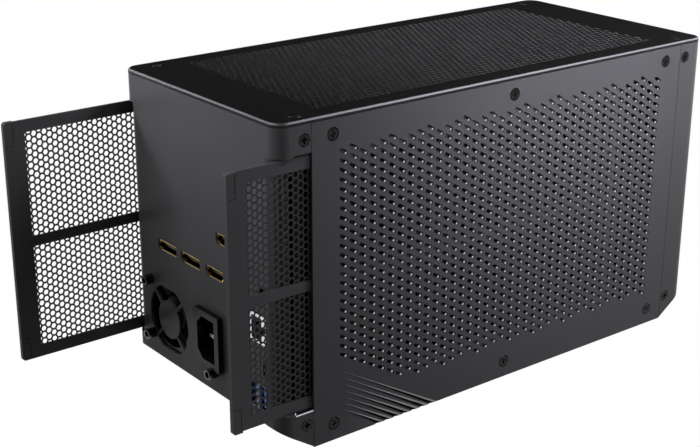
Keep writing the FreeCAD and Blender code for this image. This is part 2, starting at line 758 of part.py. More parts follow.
def make_rear_cover():
    blank = end_cover_blank(-1, "rear_cover")
    pockets = sketch_on(blank, "finger_pockets", "XY_Plane", ground + filter_low - pocket_margin)
    for side in (-1, 1):
        outside = half_width + wall
        outline = [
            (mouth_x, pull_stop_y + pocket_ramp),
            (outside, pull_stop_y - wall),
            (outside, -half_length + column_width + wall),
            (mouth_x, -half_length + column_width + wall),
        ]
        draw_outline(pockets, [(x * side, y) for x, y in outline])
    pocket(blank, pockets, depth=filter_height + pocket_margin * 2, reverse=True)
    openings = sketch_on(blank, "port_openings", "XZ_Plane")
    for _, x, z, wide, bevels in video_sockets:
        outline = socket_outline(wide, video_height, fit_clear, bevels)
        draw_outline(openings, [(x + a, z + b) for a, b in outline])
    inlet_half = (inlet_width / 2 - inlet_neck + fit_clear, inlet_height / 2 - inlet_neck + fit_clear)
    draw_rectangle(
        openings,
        inlet_x - inlet_half[0],
        ground + inlet_z - inlet_half[1],
        inlet_x + inlet_half[0],
        ground + inlet_z + inlet_half[1],
    )
    for x, z, wide, tall in (
        (network_x, network_z, network_width, network_height),
        (typec_x, typec_z, typec_width, typec_height),
        (usb_right - usb_width / 2, usb_z, usb_width, usb_height),
    ):
        draw_rectangle(
            openings,
            x - wide / 2 - fit_clear,
            ground + z - tall / 2 - fit_clear,
            x + wide / 2 + fit_clear,
            ground + z + tall / 2 + fit_clear,
        )
    lock_centre = half_width - lock_x
    draw_rectangle(
        openings,
        lock_centre - lock_width / 2,
        ground + lock_z - lock_height / 2,
        lock_centre + lock_width / 2,
        ground + lock_z + lock_height / 2,
    )
    pocket(blank, openings, reverse=True)
    tools = cover_screw_holes("rear", -1) + [grille_cutter()]
    for number, (x, z) in enumerate(supply_screw_places()):
        start = (x, -half_length - wall, z)
        hole_radius = screw_shank_radius + screw_hole_clear
        tools.append(prism(f"cap_hole_{number}", start, hole_radius, wall * 3, "y", SHANK_SIDES))
    for side, word in ((-1, "left"), (1, "right")):
        tools += filter_mouth(side, word)
    register(cut("rear_cover_cut", blank, tools), "rear_cover")


def filter_mouth(side, word):
    """The stepped-in, rounded corner that a filter slides past."""
    low = ground + filter_low - filter_edge_clear
    high = ground + filter_low + filter_height + filter_edge_clear
    turn_x = (mouth_x - corner_radius) * side
    turn_y = -half_length + corner_radius
    outside = (half_width + wall) * side

    def span(near, far):
        return (near, far) if side > 0 else (far, near)

    corner_x = span(turn_x, outside)
    side_x = span(mouth_x * side, outside)
    corner_low = (corner_x[0], -half_length - wall, low)
    corner = box(f"mouth_corner_{word}", corner_low, (corner_x[1], turn_y, high))
    bend = rod(f"mouth_bend_{word}", (turn_x, turn_y, low - wall), corner_radius, high - low + wall * 2)
    open_side = box(
        f"mouth_side_{word}",
        (side_x[0], turn_y, low),
        (side_x[1], -half_length + column_width + wall, high),
    )
    return [cut(f"mouth_round_{word}", corner, [bend]), open_side]


def supply_screw_places():
    """Two screws that hold the supply's fan, and a third through the supply's own case."""
    left = -small_fan_x - small_fan_pitch / 2
    middle = ground + supply_middle
    third = (-supply_x + supply_width - supply_third_x, ground + supply_low + supply_hole_low)
    return [(left, middle + small_fan_pitch / 2), (left, middle - small_fan_pitch / 2), third]


def make_bottom_plate():
    """One sheet with its ends folded up along the sloping underside."""
    body = doc.addObject("PartDesign::Body", "bottom_plate_body")
    profile = sketch_on(body, "bottom_profile", "YZ_Plane")
    end_y = inner_y - seam_gap
    end_rise = chamfer_rise * (end_y - half_length + chamfer_run) / chamfer_run
    slope = chamfer_rise / chamfer_run
    sheet_drop = wall * (slope * slope + 1).root()
    fold_y = half_length - chamfer_run
    inner_fold_y = fold_y - (sheet_drop - wall) / slope
    below = [(-end_y, end_rise), (-fold_y, 0), (fold_y, 0), (end_y, end_rise)]
    above = [(end_y, end_rise + sheet_drop), (inner_fold_y, wall)]
    above += [(-inner_fold_y, wall), (-end_y, end_rise + sheet_drop)]
    draw_outline(profile, [(y, ground + z) for y, z in below + above])
    side_x = inner_x - seam_gap
    pad(body, profile, side_x * 2, both_ways=True)
    corners = sketch_on(body, "bottom_corners", "XY_Plane", ground)
    leg = corner_radius - wall
    for x in (-1, 1):
        for y in (-1, 1):
            beyond = [(side_x + leg, end_y), (side_x - leg, end_y + leg)]
            triangle = [(side_x, end_y - leg), *beyond, (side_x - leg, end_y)]
            draw_outline(corners, [(a * x, b * y) for a, b in triangle])
    pocket(body, corners, both_ways=True)
    register(body, "bottom_plate")


def clip_line(corner, direction, polygon):
    """Where a line crosses a convex outline: its first and last distance, or None."""
    near, far = -1e9, 1e9
    for (ax, ay), (bx, by) in zip(polygon, polygon[1:] + polygon[:1]):
        normal = (ay - by, bx - ax)
        speed = normal[0] * direction[0] + normal[1] * direction[1]
        offset = normal[0] * (corner[0] - ax) + normal[1] * (corner[1] - ay)
        if abs(speed) < 1e-9:
            if offset < 0:
                return None
        elif speed > 0:
            near = max(near, -offset / speed)
        else:
            far = min(far, -offset / speed)
    return (near, far) if far > near else None


def slot_runs():
    """Long slots as (middle y, middle z, length): rows of the slot pattern cut to the field's outline."""
    slope = math.radians(slot_angle.value)
    along = (math.cos(slope), -math.sin(slope))
    rear = -half_length.value + field_rear.value
    front = half_length.value - field_front.value
    low = ground.value + field_low.value
    high = ground.value + body_height.value - field_high.value
    cut_run = corner_cut.value / math.tan(slope)
    outline = [(rear, high), (rear, low + corner_cut.value), (rear + cut_run, low)]
    outline += [(front, low), (front, high)]
    web = slot_pitch_y.value / math.cos(slope) - slot_length.value
    step = slot_pitch_y.value / math.cos(slope) * slots_per_run.value
    drop = slot_pitch_z.value
    rows = int((high - low + (front - rear) * math.tan(slope)) / drop)
    runs = []
    for row in range(rows + 1):
        corner = (rear, high + (front - rear) * math.tan(slope) - row * drop)
        span = clip_line(corner, along, outline)
        if span is None:
            continue
        phase = (row % 2) * step / 2
        place_on = math.floor((span[0] - phase) / step) * step + phase
        while place_on < span[1]:
            start = max(place_on, span[0])
            end = min(place_on + step - web, span[1])
            if end - start > slot_length.value * SHORTEST_RUN:
                middle = (start + end) / 2
                y = corner[0] + along[0] * middle
                z = corner[1] + along[1] * middle
                runs.append((y, z, end - start))
            place_on += step
    return runs


def slot_tools(side):
    """The long slots of one panel, each a slanted block through the sheet."""
    blocks = []
    thick = wall.value * 3
    turned = Rotation(Vector(1, 0, 0), -slot_angle.value)
    for y, z, run in slot_runs():
        corner = Vector(-thick / 2, -run / 2, -slot_width.value / 2)
        block = Part.makeBox(thick, run, slot_width.value, corner)
        x = (half_width.value - wall.value / 2) * side
        block.Placement = Placement(Vector(x, y, z), turned)
        blocks.append(block)
    return blocks


def ridge_tools(side):
    """Grooves that deepen towards the lower edge, each under a straight lip, as pointed wedges."""
    slope = math.radians(slot_angle.value)
    face_x = half_width.value * side
    deep_x = (half_width.value - ridge_depth.value) * side
    start_y = -half_length.value + field_rear.value
    low = ground.value

    def end_of(height):
        return start_y + (height - low) / math.tan(slope)

    wedges = []
    for number in range(int(ridge_count.value)):
        lip = low + ridge_start.value + ridge_pitch.value * number
        under = lip - ridge_pitch.value
        start_lip = Vector(face_x, start_y, lip)
        start_under = Vector(face_x, start_y, under)
        end_lip = Vector(face_x, end_of(lip), low)
        end_under = Vector(face_x, end_of(under), low)
        end_deep = Vector(deep_x, end_of(lip), low)
        corners = [
            (start_lip, start_under, end_under, end_lip),
            (start_lip, end_lip, end_deep),
            (end_lip, end_under, end_deep),
            (start_lip, end_deep, start_under),
            (start_under, end_deep, end_under),
        ]
        faces = [Part.Face(Part.makePolygon([*loop, loop[0]])) for loop in corners]
        wedge = Part.makeSolid(Part.makeShell(faces))
        if wedge.Volume < 0:
            wedge.reverse()
        wedges.append(wedge)
    return wedges


def make_side_panel(side, word):
    seam_y = half_length - column_width - seam_gap
    blank = box(
        f"side_panel_{word}_blank",
        (inner_x * side if side > 0 else -half_width, -seam_y, ground),
        (half_width if side > 0 else inner_x * side, seam_y, top_under - shadow_gap),
    )
    pattern = doc.addObject("Part::Feature", f"panel_pattern_{word}")
    pattern.Shape = Part.makeCompound(slot_tools(side) + ridge_tools(side))
    tools = [pattern]
    for name, face in panel_screw_places(side):
        tools += screw_hole(f"panel_hole_{word}_{name}", face, inward(side))
    register(cut(f"side_panel_{word}_cut", blank, tools), f"side_panel_{word}")


def make_chassis_frame():
    """Welded frame: four long rails, cross bars at both ends, posts and a bar under the supply."""
    rail_top = ground + filter_low + filter_height + filter_edge_clear
    rail_low = ground + filter_low - filter_edge_clear
    supply_rest = ground + supply_low
    pieces = []
    for side, word in ((-1, "left"), (1, "right")):
        x_low, x_high = (rail_in, inner_x) if side > 0 else (-inner_x, -rail_in)
        pieces.append(box(f"top_rail_{word}", (x_low, -frame_y, rail_top), (x_high, frame_y, top_under)))
        low_start = (x_low, -frame_y, ground + wall)
        pieces.append(box(f"low_rail_{word}", low_start, (x_high, frame_y, rail_low)))
        post_low, post_high = (rail_in, mouth_x) if side > 0 else (-mouth_x, -rail_in)
        post_out = frame_y - wall
        for end_word, near, far in (
            ("rear", -post_out, -post_out + post_width),
            ("front", post_out - post_width, post_out),
        ):
            pieces.append(
                box(f"post_{word}_{end_word}", (post_low, near, rail_low), (post_high, far, rail_top))
            )
    cross_in = frame_y - (frame_y - fan_row_end) * cross_share
    rest_y = -inner_y + supply_depth - rest_setback
    for name, near, far, high in (
        ("top_cross_rear", -frame_y, -cross_in, top_under),
        ("top_cross_front", cross_in, frame_y, top_under),
        ("low_cross_rear", -frame_y, -frame_y + cross_depth, supply_rest),
        ("low_cross_front", frame_y - cross_depth, frame_y, supply_rest),
        ("supply_rest", rest_y, rest_y + cross_depth, supply_rest),
    ):
        pieces.append(box(name, (-rail_in, near, high - cross_height), (rail_in, far, high)))
    frame = fuse("chassis_frame_bars", pieces)
    tools = []
    for end, word in ((-1, "rear"), (1, "front")):
        wedge = doc.addObject("PartDesign::Body", f"slope_{word}_body")
        outline = sketch_on(wedge, f"slope_{word}", "YZ_Plane")
        beyond = half_length + wall
        slope = chamfer_rise / chamfer_run
        sheet_drop = wall * (slope * slope + 1).root()
        fold_y = half_length - chamfer_run - (sheet_drop - wall) / slope
        draw_outline(
            outline,
            [
                (beyond * end, ground),
                (fold_y * end, ground),
                (fold_y * end, ground + wall),
                (beyond * end, ground + wall + slope * (beyond - fold_y)),
            ],
        )
        pad(wedge, outline, width, both_ways=True)
        tools.append(wedge)
    for side, side_word in ((-1, "left"), (1, "right")):
        for name, face in panel_screw_places(side):
            tools.append(screw_bore(f"frame_{side_word}_{name}", face, inward(side)))
        for end, end_word in ((-1, "rear"), (1, "front")):
            for row, face in column_screw_places(side, end):
                tools.append(screw_bore(f"frame_{side_word}_{end_word}_{row}", face, inward(side)))
    for name, face in top_screw_places():
        tools.append(screw_bore(f"frame_top_{name}", face, "-z"))
    notch_z = ground + usb_z - usb_height / 2 - fit_clear * 2
    notch_low = (usb_right - usb_width - wall, -frame_y - wall, notch_z)
    notch_high = (usb_right + fit_clear, -frame_y + cross_depth + wall, supply_rest + wall)
    tools.append(box("port_notch", notch_low, notch_high))
    register(cut("chassis_frame_cut", frame, tools), "chassis_frame")


def make_filter(side, word, pull):
    """A flat frame with two mesh windows and a thicker grip strip at its outer end."""
    end_y = grip_closed_y - pull
    far_y = end_y + filter_length
    low = ground + filter_low
    high = low + filter_height
    middle = low + filter_height / 2

    def span(near, far):
        return (near, far) if side > 0 else (-far, -near)

    x_low, x_high = span(filter_inner_x, filter_outer_x)
    sheet_low = (x_low, end_y + grip_width / 2, low)
    sheet_box = box(f"filter_{word}_sheet", sheet_low, (x_high, far_y, high))
    grip_low, grip_high = span(filter_inner_x, filter_inner_x + grip_thick)
    grip = box(
        f"filter_{word}_grip",
        (grip_low, end_y, low + grip_inset),
        (grip_high, end_y + grip_width, high - grip_inset),
    )
    rounded = doc.addObject("Part::Fillet", f"filter_{word}_grip_round")
    rounded.Base = grip
    doc.recompute()
    edges = []
    for number, edge in enumerate(grip.Shape.Edges):
        along_x = abs(edge.BoundBox.XLength) > 0.1
        if along_x and edge.BoundBox.YMax < end_y.value + 0.01:
            edges.append((number + 1, grip_radius.value, grip_radius.value))
    rounded.Edges = edges
    frame = fuse(f"filter_{word}_frame", [sheet_box, rounded])
    recess = (filter_thick - mesh_thick) / 2
    tools = []
    for place_word, z_low, z_high in (
        ("low", low + filter_bar, middle - filter_mid_bar / 2),
        ("high", middle + filter_mid_bar / 2, high - filter_bar),
    ):
        for face_word, near, far in (
            ("in", filter_inner_x - recess, filter_inner_x + recess),
            ("out", filter_outer_x - recess, filter_outer_x + recess),
        ):
            x_pair = span(near, far)
            tools.append(
                box(
                    f"filter_{word}_{place_word}_{face_word}",
                    (x_pair[0], end_y + grip_setback, z_low),
                    (x_pair[1], far_y - filter_tail_bar, z_high),
                )
            )
    register(cut(f"filter_{word}_cut", frame, tools), f"filter_{word}")


def make_screws():
    face_drop = screw_recess_depth - screw_head_height
    tops = []
    for name, (x, y, z) in top_screw_places():
        tops.append(screw(f"top_screw_{name}", (x, y, z - face_drop), "-z"))
    register(group("top_screw_set", tops), "top_screws")
    column_screws = []
    for side, word in ((-1, "left"), (1, "right")):
        sides = []
        for name, (x, y, z) in panel_screw_places(side):
            sides.append(screw(f"panel_screw_{word}_{name}", (x - face_drop * side, y, z), inward(side)))
        register(group(f"panel_screw_set_{word}", sides), f"panel_screws_{word}")
        for end, end_word in ((-1, "rear"), (1, "front")):
            for row, (x, y, z) in column_screw_places(side, end):
                name = f"column_screw_{word}_{end_word}_{row}"
                column_screws.append(screw(name, (x - face_drop * side, y, z), inward(side)))
    register(group("column_screw_set", column_screws), "column_screws")


def make_feet():
    number = 0
    for side in (-1, 1):
        for end in (-1, 1):
            number += 1
            x = (half_width - foot_x) * side
            y = (half_length - foot_y) * end
            disc = prism(f"foot_{number}_disc", (x, y, 0), foot_radius, foot_height, "z", FOOT_SIDES)
            register(disc, f"rubber_foot_{number}")


def make_power_supply():
    """A folded steel case with room for its fan and inlet, and three socket screws."""
    left, right = -supply_x, -supply_x + supply_width
    low, high = ground + supply_low, ground + supply_low + supply_height
    fan_z = ground + supply_middle
    block = box("supply_block", (left, -inner_y, low), (right, -inner_y + supply_depth, high))
    fan_half = small_fan / 2
    fan_room = box(
        "supply_fan_room",
        (-small_fan_x - fan_half - fit_clear, -inner_y - wall, fan_z - fan_half - fit_clear),
        (-small_fan_x + fan_half + fit_clear, -inner_y + small_fan_depth + fit_clear, high + wall),
    )
    room_x = inlet_width / 2 - inlet_neck + fit_clear
    room_z = inlet_height / 2 - inlet_neck + fit_clear
    room_end = -half_length + inlet_body_depth + fit_clear
    inlet_room = box(
        "supply_inlet_room",
        (inlet_x - room_x, -inner_y - wall, ground + inlet_z - room_z),
        (inlet_x + room_x, room_end, ground + inlet_z + room_z),
    )
    x, z = supply_screw_places()[2]
    bore_radius = screw_shank_radius + screw_hole_clear
    bore_reach = screw_length + screw_hole_clear * 2
    bore = prism("supply_bore", (x, -half_length, z), bore_radius, bore_reach, "y", SHANK_SIDES)
    register(cut("supply_case", block, [fan_room, inlet_room, bore]), "power_supply_case")
    screws = []
    for number, (x, z) in enumerate(supply_screw_places()):
        face = (x, -half_length - cap_height, z)
        middle = (x, -half_length - cap_height / 2, z)
        reach = cap_height / 2 + screw_length
        head = prism(f"cap_head_{number}", face, cap_radius, cap_height, "y", CAP_SIDES)
        shank = prism(f"cap_shank_{number}", middle, screw_shank_radius, reach, "y", SHANK_SIDES)
        socket = prism(f"cap_socket_{number}", face, cap_socket, cap_socket_depth, "y", 6)
        screws.append(cut(f"cap_screw_{number}", fuse(f"cap_{number}", [head, shank]), [socket]))
    register(group("supply_screw_set", screws), "supply_screws")


def make_small_fan():
    centre = (-small_fan_x, -inner_y, ground + supply_middle)
    sizes = (small_fan, small_fan_depth, small_fan_bore, small_hub, small_fan_pitch)
    make_fan_frame("supply_fan", centre, "y", sizes)
    make_fan_rotor("supply_fan", centre, "y", sizes, small_blades)


def make_fan_frame(name, centre, along, sizes):
    """A square frame with a bore, and a motor mount on struts at its far side."""
    square, depth, bore, hub, hole_pitch = sizes
    half = square / 2
    mount_z = depth - fan_mount
    block = box(f"{name}_block", (-half, -half, 0), (half, half, depth))
    tools = [prism(f"{name}_bore", (0, 0, 0), bore, depth, "z", BORE_SIDES)]
    for x in (-1, 1):
        for y in (-1, 1):
            corner = (hole_pitch / 2 * x, hole_pitch / 2 * y, 0)
            hole = f"{name}_hole_{x + 1}{y + 1}"
            tools.append(prism(hole, corner, fan_hole_radius, depth, "z", SHANK_SIDES))
    pieces = [cut(f"{name}_ring", block, tools)]
    disc = prism(f"{name}_mount_disc", (0, 0, mount_z), hub, fan_mount, "z", BORE_SIDES // 2)
    for number in range(int(struts.value)):
        angle = first_strut.value + 360 / struts.value * number
        strut = doc.addObject("Part::Box", f"{name}_strut_{number}")
        bind(strut, Length=bore + fan_running, Width=fan_strut, Height=fan_mount)
        aside_x = fan_strut / 2 * math.sin(math.radians(angle))
        aside_y = -fan_strut / 2 * math.cos(math.radians(angle))
        place(strut, (aside_x, aside_y, mount_z), Rotation(Vector(0, 0, 1), angle))
        pieces.append(strut)
    whole = fuse(f"{name}_frame_whole", [*pieces, disc])
    start = (0, 0, mount_z - wall)
    bearing_radius = shaft_radius + shaft_clear
    bearing = prism(f"{name}_bearing", start, bearing_radius, fan_mount + wall * 2, "z", HEAD_SIDES)
    frame = cut(f"{name}_frame_cut", whole, [bearing])
    place(frame, centre, TURNS[along])
    register(frame, f"{name}_frame")


def make_fan_rotor(name, centre, along, sizes, blades):
    """A hub with a round shaft and flat sloping blades that clear the bore."""
    _, depth, bore, hub, _ = sizes
    rotor_depth = depth - fan_mount - fan_face - fan_running
    pieces = [prism(f"{name}_hub", (0, 0, fan_face), hub, rotor_depth, "z", BORE_SIDES // 2)]
    shaft_length = rotor_depth / 2 + fan_running + fan_mount / 2
    pieces.append(rod(f"{name}_shaft", (0, 0, fan_face + rotor_depth / 2), shaft_radius, shaft_length))
    pitch = math.radians(blade_pitch.value)
    chord = (rotor_depth - blade_thick * math.cos(pitch)) / math.sin(pitch)
    half_run = (chord * math.cos(pitch) + blade_thick * math.sin(pitch)) / 2
    tip = bore - blade_gap
    blade_end = (tip * tip - half_run * half_run).root()
    blade_start = hub - blade_gap
    for number in range(int(blades.value)):
        blade = doc.addObject("Part::Box", f"{name}_blade_{number}")
        bind(blade, Length=blade_end - blade_start, Width=chord, Height=blade_thick)
        turn = Rotation(Vector(0, 0, 1), 360 / blades.value * number)
        corner = (blade_start, chord * -math.cos(pitch) / 2 + blade_thick * math.sin(pitch) / 2)
        angle = math.radians(360 / blades.value * number)
        x = corner[0] * math.cos(angle) - corner[1] * math.sin(angle)
        y = corner[0] * math.sin(angle) + corner[1] * math.cos(angle)
        place(blade, (x, y, fan_face), turn * Rotation(Vector(1, 0, 0), blade_pitch.value))
        pieces.append(blade)
    rotor = fuse(f"{name}_rotor_whole", pieces)
    place(rotor, centre, TURNS[along])
    register(rotor, f"{name}_rotor")


def make_mains_inlet():
    """A snap-in appliance inlet on end: bevelled bezel, body, socket with two cut corners, three pins."""
    face_y = -half_length - inlet_proud
    body = doc.addObject("PartDesign::Body", "mains_inlet_body")
    bezel = sketch_on(body, "inlet_bezel", "XZ_Plane", -face_y)
    x_half, z_half = inlet_width / 2, inlet_height / 2
    centre_z = ground + inlet_z
    bezel_outline = [
        (x_half, z_half),
        (-x_half + inlet_bevel, z_half),
        (-x_half, z_half - inlet_bevel),
        (-x_half, -z_half + inlet_bevel),
        (-x_half + inlet_bevel, -z_half),
        (x_half, -z_half),
    ]
    draw_outline(bezel, [(inlet_x + a, centre_z + b) for a, b in bezel_outline])
    plate = pad(body, bezel, inlet_proud)
    plate.Reversed = True
    neck = sketch_on(body, "inlet_neck_outline", "XZ_Plane", half_length)
    draw_rectangle(
        neck,
        inlet_x - x_half + inlet_neck,
        centre_z - z_half + inlet_neck,
        inlet_x + x_half - inlet_neck,
        centre_z + z_half - inlet_neck,
    )
    block = pad(body, neck, inlet_body_depth)
    block.Reversed = True
    doc.recompute()
    cavity = sketch_on(body, "inlet_cavity", "XZ_Plane", -face_y)
    a, b = socket_width / 2, socket_height / 2
    cavity_outline = [
        (a, b),
        (-a + socket_bevel, b),
        (-a, b - socket_bevel),
        (-a, -b + socket_bevel),
        (-a + socket_bevel, -b),
        (a, -b),
    ]
    draw_outline(cavity, [(inlet_x + x, centre_z + z) for x, z in cavity_outline])
    pocket(body, cavity, depth=socket_depth)
    register(body, "mains_inlet")
    pins = []
    pin_places = ((pin_offset, pin_spread), (pin_offset, -pin_spread), (-pin_offset, as_size(0)))
    for number, (x, z) in enumerate(pin_places):
        low = (inlet_x + x - pin_width / 2, face_y + pin_setback, centre_z + z - pin_thick / 2)
        high = (inlet_x + x + pin_width / 2, face_y + socket_depth, centre_z + z + pin_thick / 2)
        pins.append(box(f"inlet_pin_{number}", low, high))
    register(group("inlet_pin_set", pins), "inlet_pins")


def make_video_sockets():
    """Folded metal shells with the lower corners cut, each round a dark contact tongue."""
    front_y = -half_length + video_recess
    for name, x, z, wide, bevels in video_sockets:
        body = doc.addObject("PartDesign::Body", f"{name}_body")
        outer = sketch_on(body, f"{name}_outer", "XZ_Plane", -front_y)
        rim = socket_outline(wide, video_height, as_size(0), bevels)
        draw_outline(outer, [(x + a, z + b) for a, b in rim])
        shell = pad(body, outer, video_depth)
        shell.Reversed = True
        doc.recompute()
        inner = sketch_on(body, f"{name}_inner", "XZ_Plane", -front_y)
        hollow = socket_outline(wide, video_height, -video_shell, bevels)
        draw_outline(inner, [(x + a, z + b) for a, b in hollow])
        pocket(body, inner, depth=video_depth - video_back)
        register(body, name)
        reach = wide / 2 - tongue_inset
        low = (x - reach, front_y + tongue_inset, z - tongue_thick / 2)
        high = (x + reach, front_y + video_depth - video_back, z + tongue_thick / 2)
        register(box(f"{name}_tongue", low, high), f"{name}_contacts")


def make_graphics_board():
    """The card's circuit board with its edge fingers, chip and the riser of the upper socket."""
    top = ground + card_top
    rear_y = -inner_y + fit_clear
    board_low = (-card_left, rear_y, top - board_thick)
    board = box("card_board", board_low, (card_right, rear_y + card_length, top))
    slot_y = slot_start_y()
    fingers = box(
        "card_fingers",
        (card_right, slot_y + card_slot_end + finger_clear, top - board_thick),
        (card_right + finger_reach, slot_y + card_slot_length - card_slot_end - finger_clear, top),
    )
    chip_low = (-chip_half, pump_y - chip_half, top)
    chip = box("card_chip", chip_low, (chip_half, pump_y + chip_half, top + chip_height))
    _, upper_x, upper_z, upper_width, _ = video_sockets[3]
    riser_right = upper_x + upper_width / 2
    riser_end = -half_length + video_recess + video_depth
    riser_z = video_low_z + video_height / 2 + video_shell
    riser_low = (upper_x - upper_width / 2, -half_length + video_recess + wall, riser_z)
    riser = box("card_riser", riser_low, (riser_right, riser_end, upper_z - video_height / 2))
    leg_low = (riser_right - riser_leg, rear_y, top)
    leg = box("card_riser_leg", leg_low, (riser_right, riser_end, riser_z))
    register(fuse("card_parts", [board, fingers, chip, riser, leg]), "graphics_board")


def slot_start_y():
    return -inner_y + port_board_length - card_slot_length - wall


def make_port_board():
    """The upright board at the right with the card slot and the four outer ports."""
    x_high = port_board_x
    x_low = port_board_x - board_thick
    rear_y = -inner_y + fit_clear
    low = ground + port_board_low
    high = low + port_board_height
    board = box("port_sheet", (x_low, rear_y, low), (x_high, rear_y + port_board_length, high))
    register(board, "port_board")
    slot_y = slot_start_y()
    middle_z = ground + card_top - board_thick / 2
    shell = box(
        "card_slot_block",
        (x_low - card_slot_width, slot_y, middle_z - card_slot_height / 2),
        (x_low, slot_y + card_slot_length, middle_z + card_slot_height / 2),
    )
    groove_deep = card_right + finger_reach + fit_clear
    groove_half = board_thick / 2 + slot_board_clear
    groove = box(
        "card_slot_groove",
        (x_low - card_slot_width - wall, slot_y + card_slot_end, middle_z - groove_half),
        (groove_deep, slot_y + card_slot_length - card_slot_end, middle_z + groove_half),
    )
    register(cut("card_slot_cut", shell, [groove]), "card_slot")


def port_block(name, x, z, wide, tall, depth):
    front_y = -half_length - fit_clear
    low = (x - wide / 2, front_y, ground + z - tall / 2)
    high = (x + wide / 2, front_y + depth, ground + z + tall / 2)
    return box(name, low, high)


def make_network_socket():
    """A modular jack turned on its side, with the latch groove towards the board."""
    shell = port_block("network_shell", network_x, network_z, network_width, network_height, network_depth)
    front_y = -half_length - fit_clear
    x_high = network_x + network_width / 2 - network_rim - network_latch_step
    x_low = network_x - network_width / 2 + network_rim
    z_half = network_height / 2 - network_wall
    room_end = front_y + network_depth - network_back
    middle_z = ground + network_z
    room = box(
        "network_room",
        (x_low, front_y - wall, middle_z - z_half),
        (x_high, room_end, middle_z + z_half),
    )
    latch = box(
        "network_latch_room",
        (x_low, front_y - wall, middle_z - network_latch / 2),
        (x_high + network_latch_step, room_end, middle_z + network_latch / 2),
    )
    register(cut("network_cut", shell, [fuse("network_hollow", [room, latch])]), "network_socket")


def make_typec_socket():
    shell = port_block("typec_shell", typec_x, typec_z, typec_width, typec_height, typec_depth)
    front_y = -half_length - fit_clear
    middle_z = ground + typec_z
    x_half = typec_width / 2 - typec_rim
    z_half = typec_height / 2 - typec_rim
    room = box(
        "typec_room",
        (typec_x - x_half, front_y - wall, middle_z - z_half),
        (typec_x + x_half, front_y + typec_depth - port_back, middle_z + z_half),
    )
    tongue_end = front_y + typec_depth - port_tongue_root
    tongue = box(
        "typec_tongue",
        (typec_x - typec_tongue / 2, front_y + port_tongue_back, middle_z - typec_tongue_half),
        (typec_x + typec_tongue / 2, tongue_end, middle_z + typec_tongue_half),
    )
    hollow = cut("typec_hollow", shell, [room])
    register(fuse("typec_whole", [hollow, tongue]), "small_port_socket")


def make_twin_socket():
    """Two upright serial ports side by side in one block, each with a blue tongue."""
    middle_x = usb_right - usb_width / 2
    shell = port_block("twin_shell", middle_x, usb_z, usb_width, usb_height, usb_depth)
    front_y = -half_length - fit_clear
    rooms = []
    tongues = []
    for number, side in enumerate((-1, 1)):
        x = middle_x + usb_width / 4 * side
        z = ground + usb_z
        back_y = front_y + usb_depth - port_back
        rooms.append(
            box(
                f"twin_room_{number}",
                (x - usb_open_width / 2, front_y - wall, z - usb_open_height / 2),
                (x + usb_open_width / 2, back_y, z + usb_open_height / 2),
            )
        )
        tongue_x = x + usb_open_width / 2 - usb_tongue_gap
        tongue_half = usb_open_height / 2 - usb_tongue_inset
        tongues.append(
            box(
                f"twin_tongue_{number}",
                (tongue_x - usb_tongue_thick, front_y + port_tongue_back, z - tongue_half),
                (tongue_x, back_y, z + tongue_half),
            )
        )
    register(cut("twin_cut", shell, rooms), "twin_port_socket")
    register(group("twin_tongue_set", tongues), "twin_port_tongues")


def make_cooling():
    """The plate under the top, two large fans and what hangs below them."""
    plate = box("fan_sheet", (-rail_in, -fan_row_end, fan_top), (rail_in, fan_row_end, top_under))
    through = fan_plate_thick + wall * 2
    bores = []
    for end, word in ((-1, "rear"), (1, "front")):
        y = big_fan / 2 * end
        start = (0, y, fan_top - wall)
        bores.append(prism(f"fan_sheet_bore_{word}", start, big_fan_bore, through, "z", BORE_SIDES))
    register(cut("fan_sheet_cut", plate, bores), "fan_plate")
    for end, word in ((-1, "rear"), (1, "front")):
        centre = (as_size(0), big_fan / 2 * end, fan_top)
        sizes = (big_fan, big_fan_depth, big_fan_bore, big_hub, big_fan_pitch)
        make_fan_frame(f"{word}_fan", centre, "-z", sizes)
        make_fan_rotor(f"{word}_fan", centre, "-z", sizes, big_blades)
    make_radiator()


def make_radiator():
    """A finned core between two end tanks, with two hose fittings under the front tank."""
    low, top = radiator_low, radiator_top
    half_run = radiator_length / 2
    half_across = big_fan / 2
    core = box(
        "radiator_core",
        (-half_across + core_inset, -half_run + radiator_tank, low + core_inset),
        (half_across - core_inset, half_run - radiator_tank, top - core_inset),
    )
    core_end = half_run - radiator_tank
    rails = []
    for word, near, far in (
        ("left", -half_across, -half_across + core_inset),
        ("right", half_across - core_inset, half_across),
    ):
        rails.append(box(f"radiator_side_{word}", (near, -core_end, low), (far, core_end, top)))
    tanks = [
        box("radiator_tank_rear", (-half_across, -half_run, low), (half_across, -core_end, top)),
        box("radiator_tank_front", (-half_across, core_end, low), (half_across, half_run, top)),
    ]
    fitting_y = half_run - radiator_tank / 2
    fittings = []
    for side, word in ((-1, "left"), (1, "right")):
        end_face = (fitting_x * side, fitting_y, low - fitting_length)
        name = f"radiator_fitting_{word}"
        fittings.append(prism(name, end_face, fitting_radius, fitting_length + wall, "z", FITTING_SIDES))
    register(fuse("radiator_parts", [core] + rails + tanks + fittings), "radiator")
    make_pump(fitting_y, low - fitting_length)


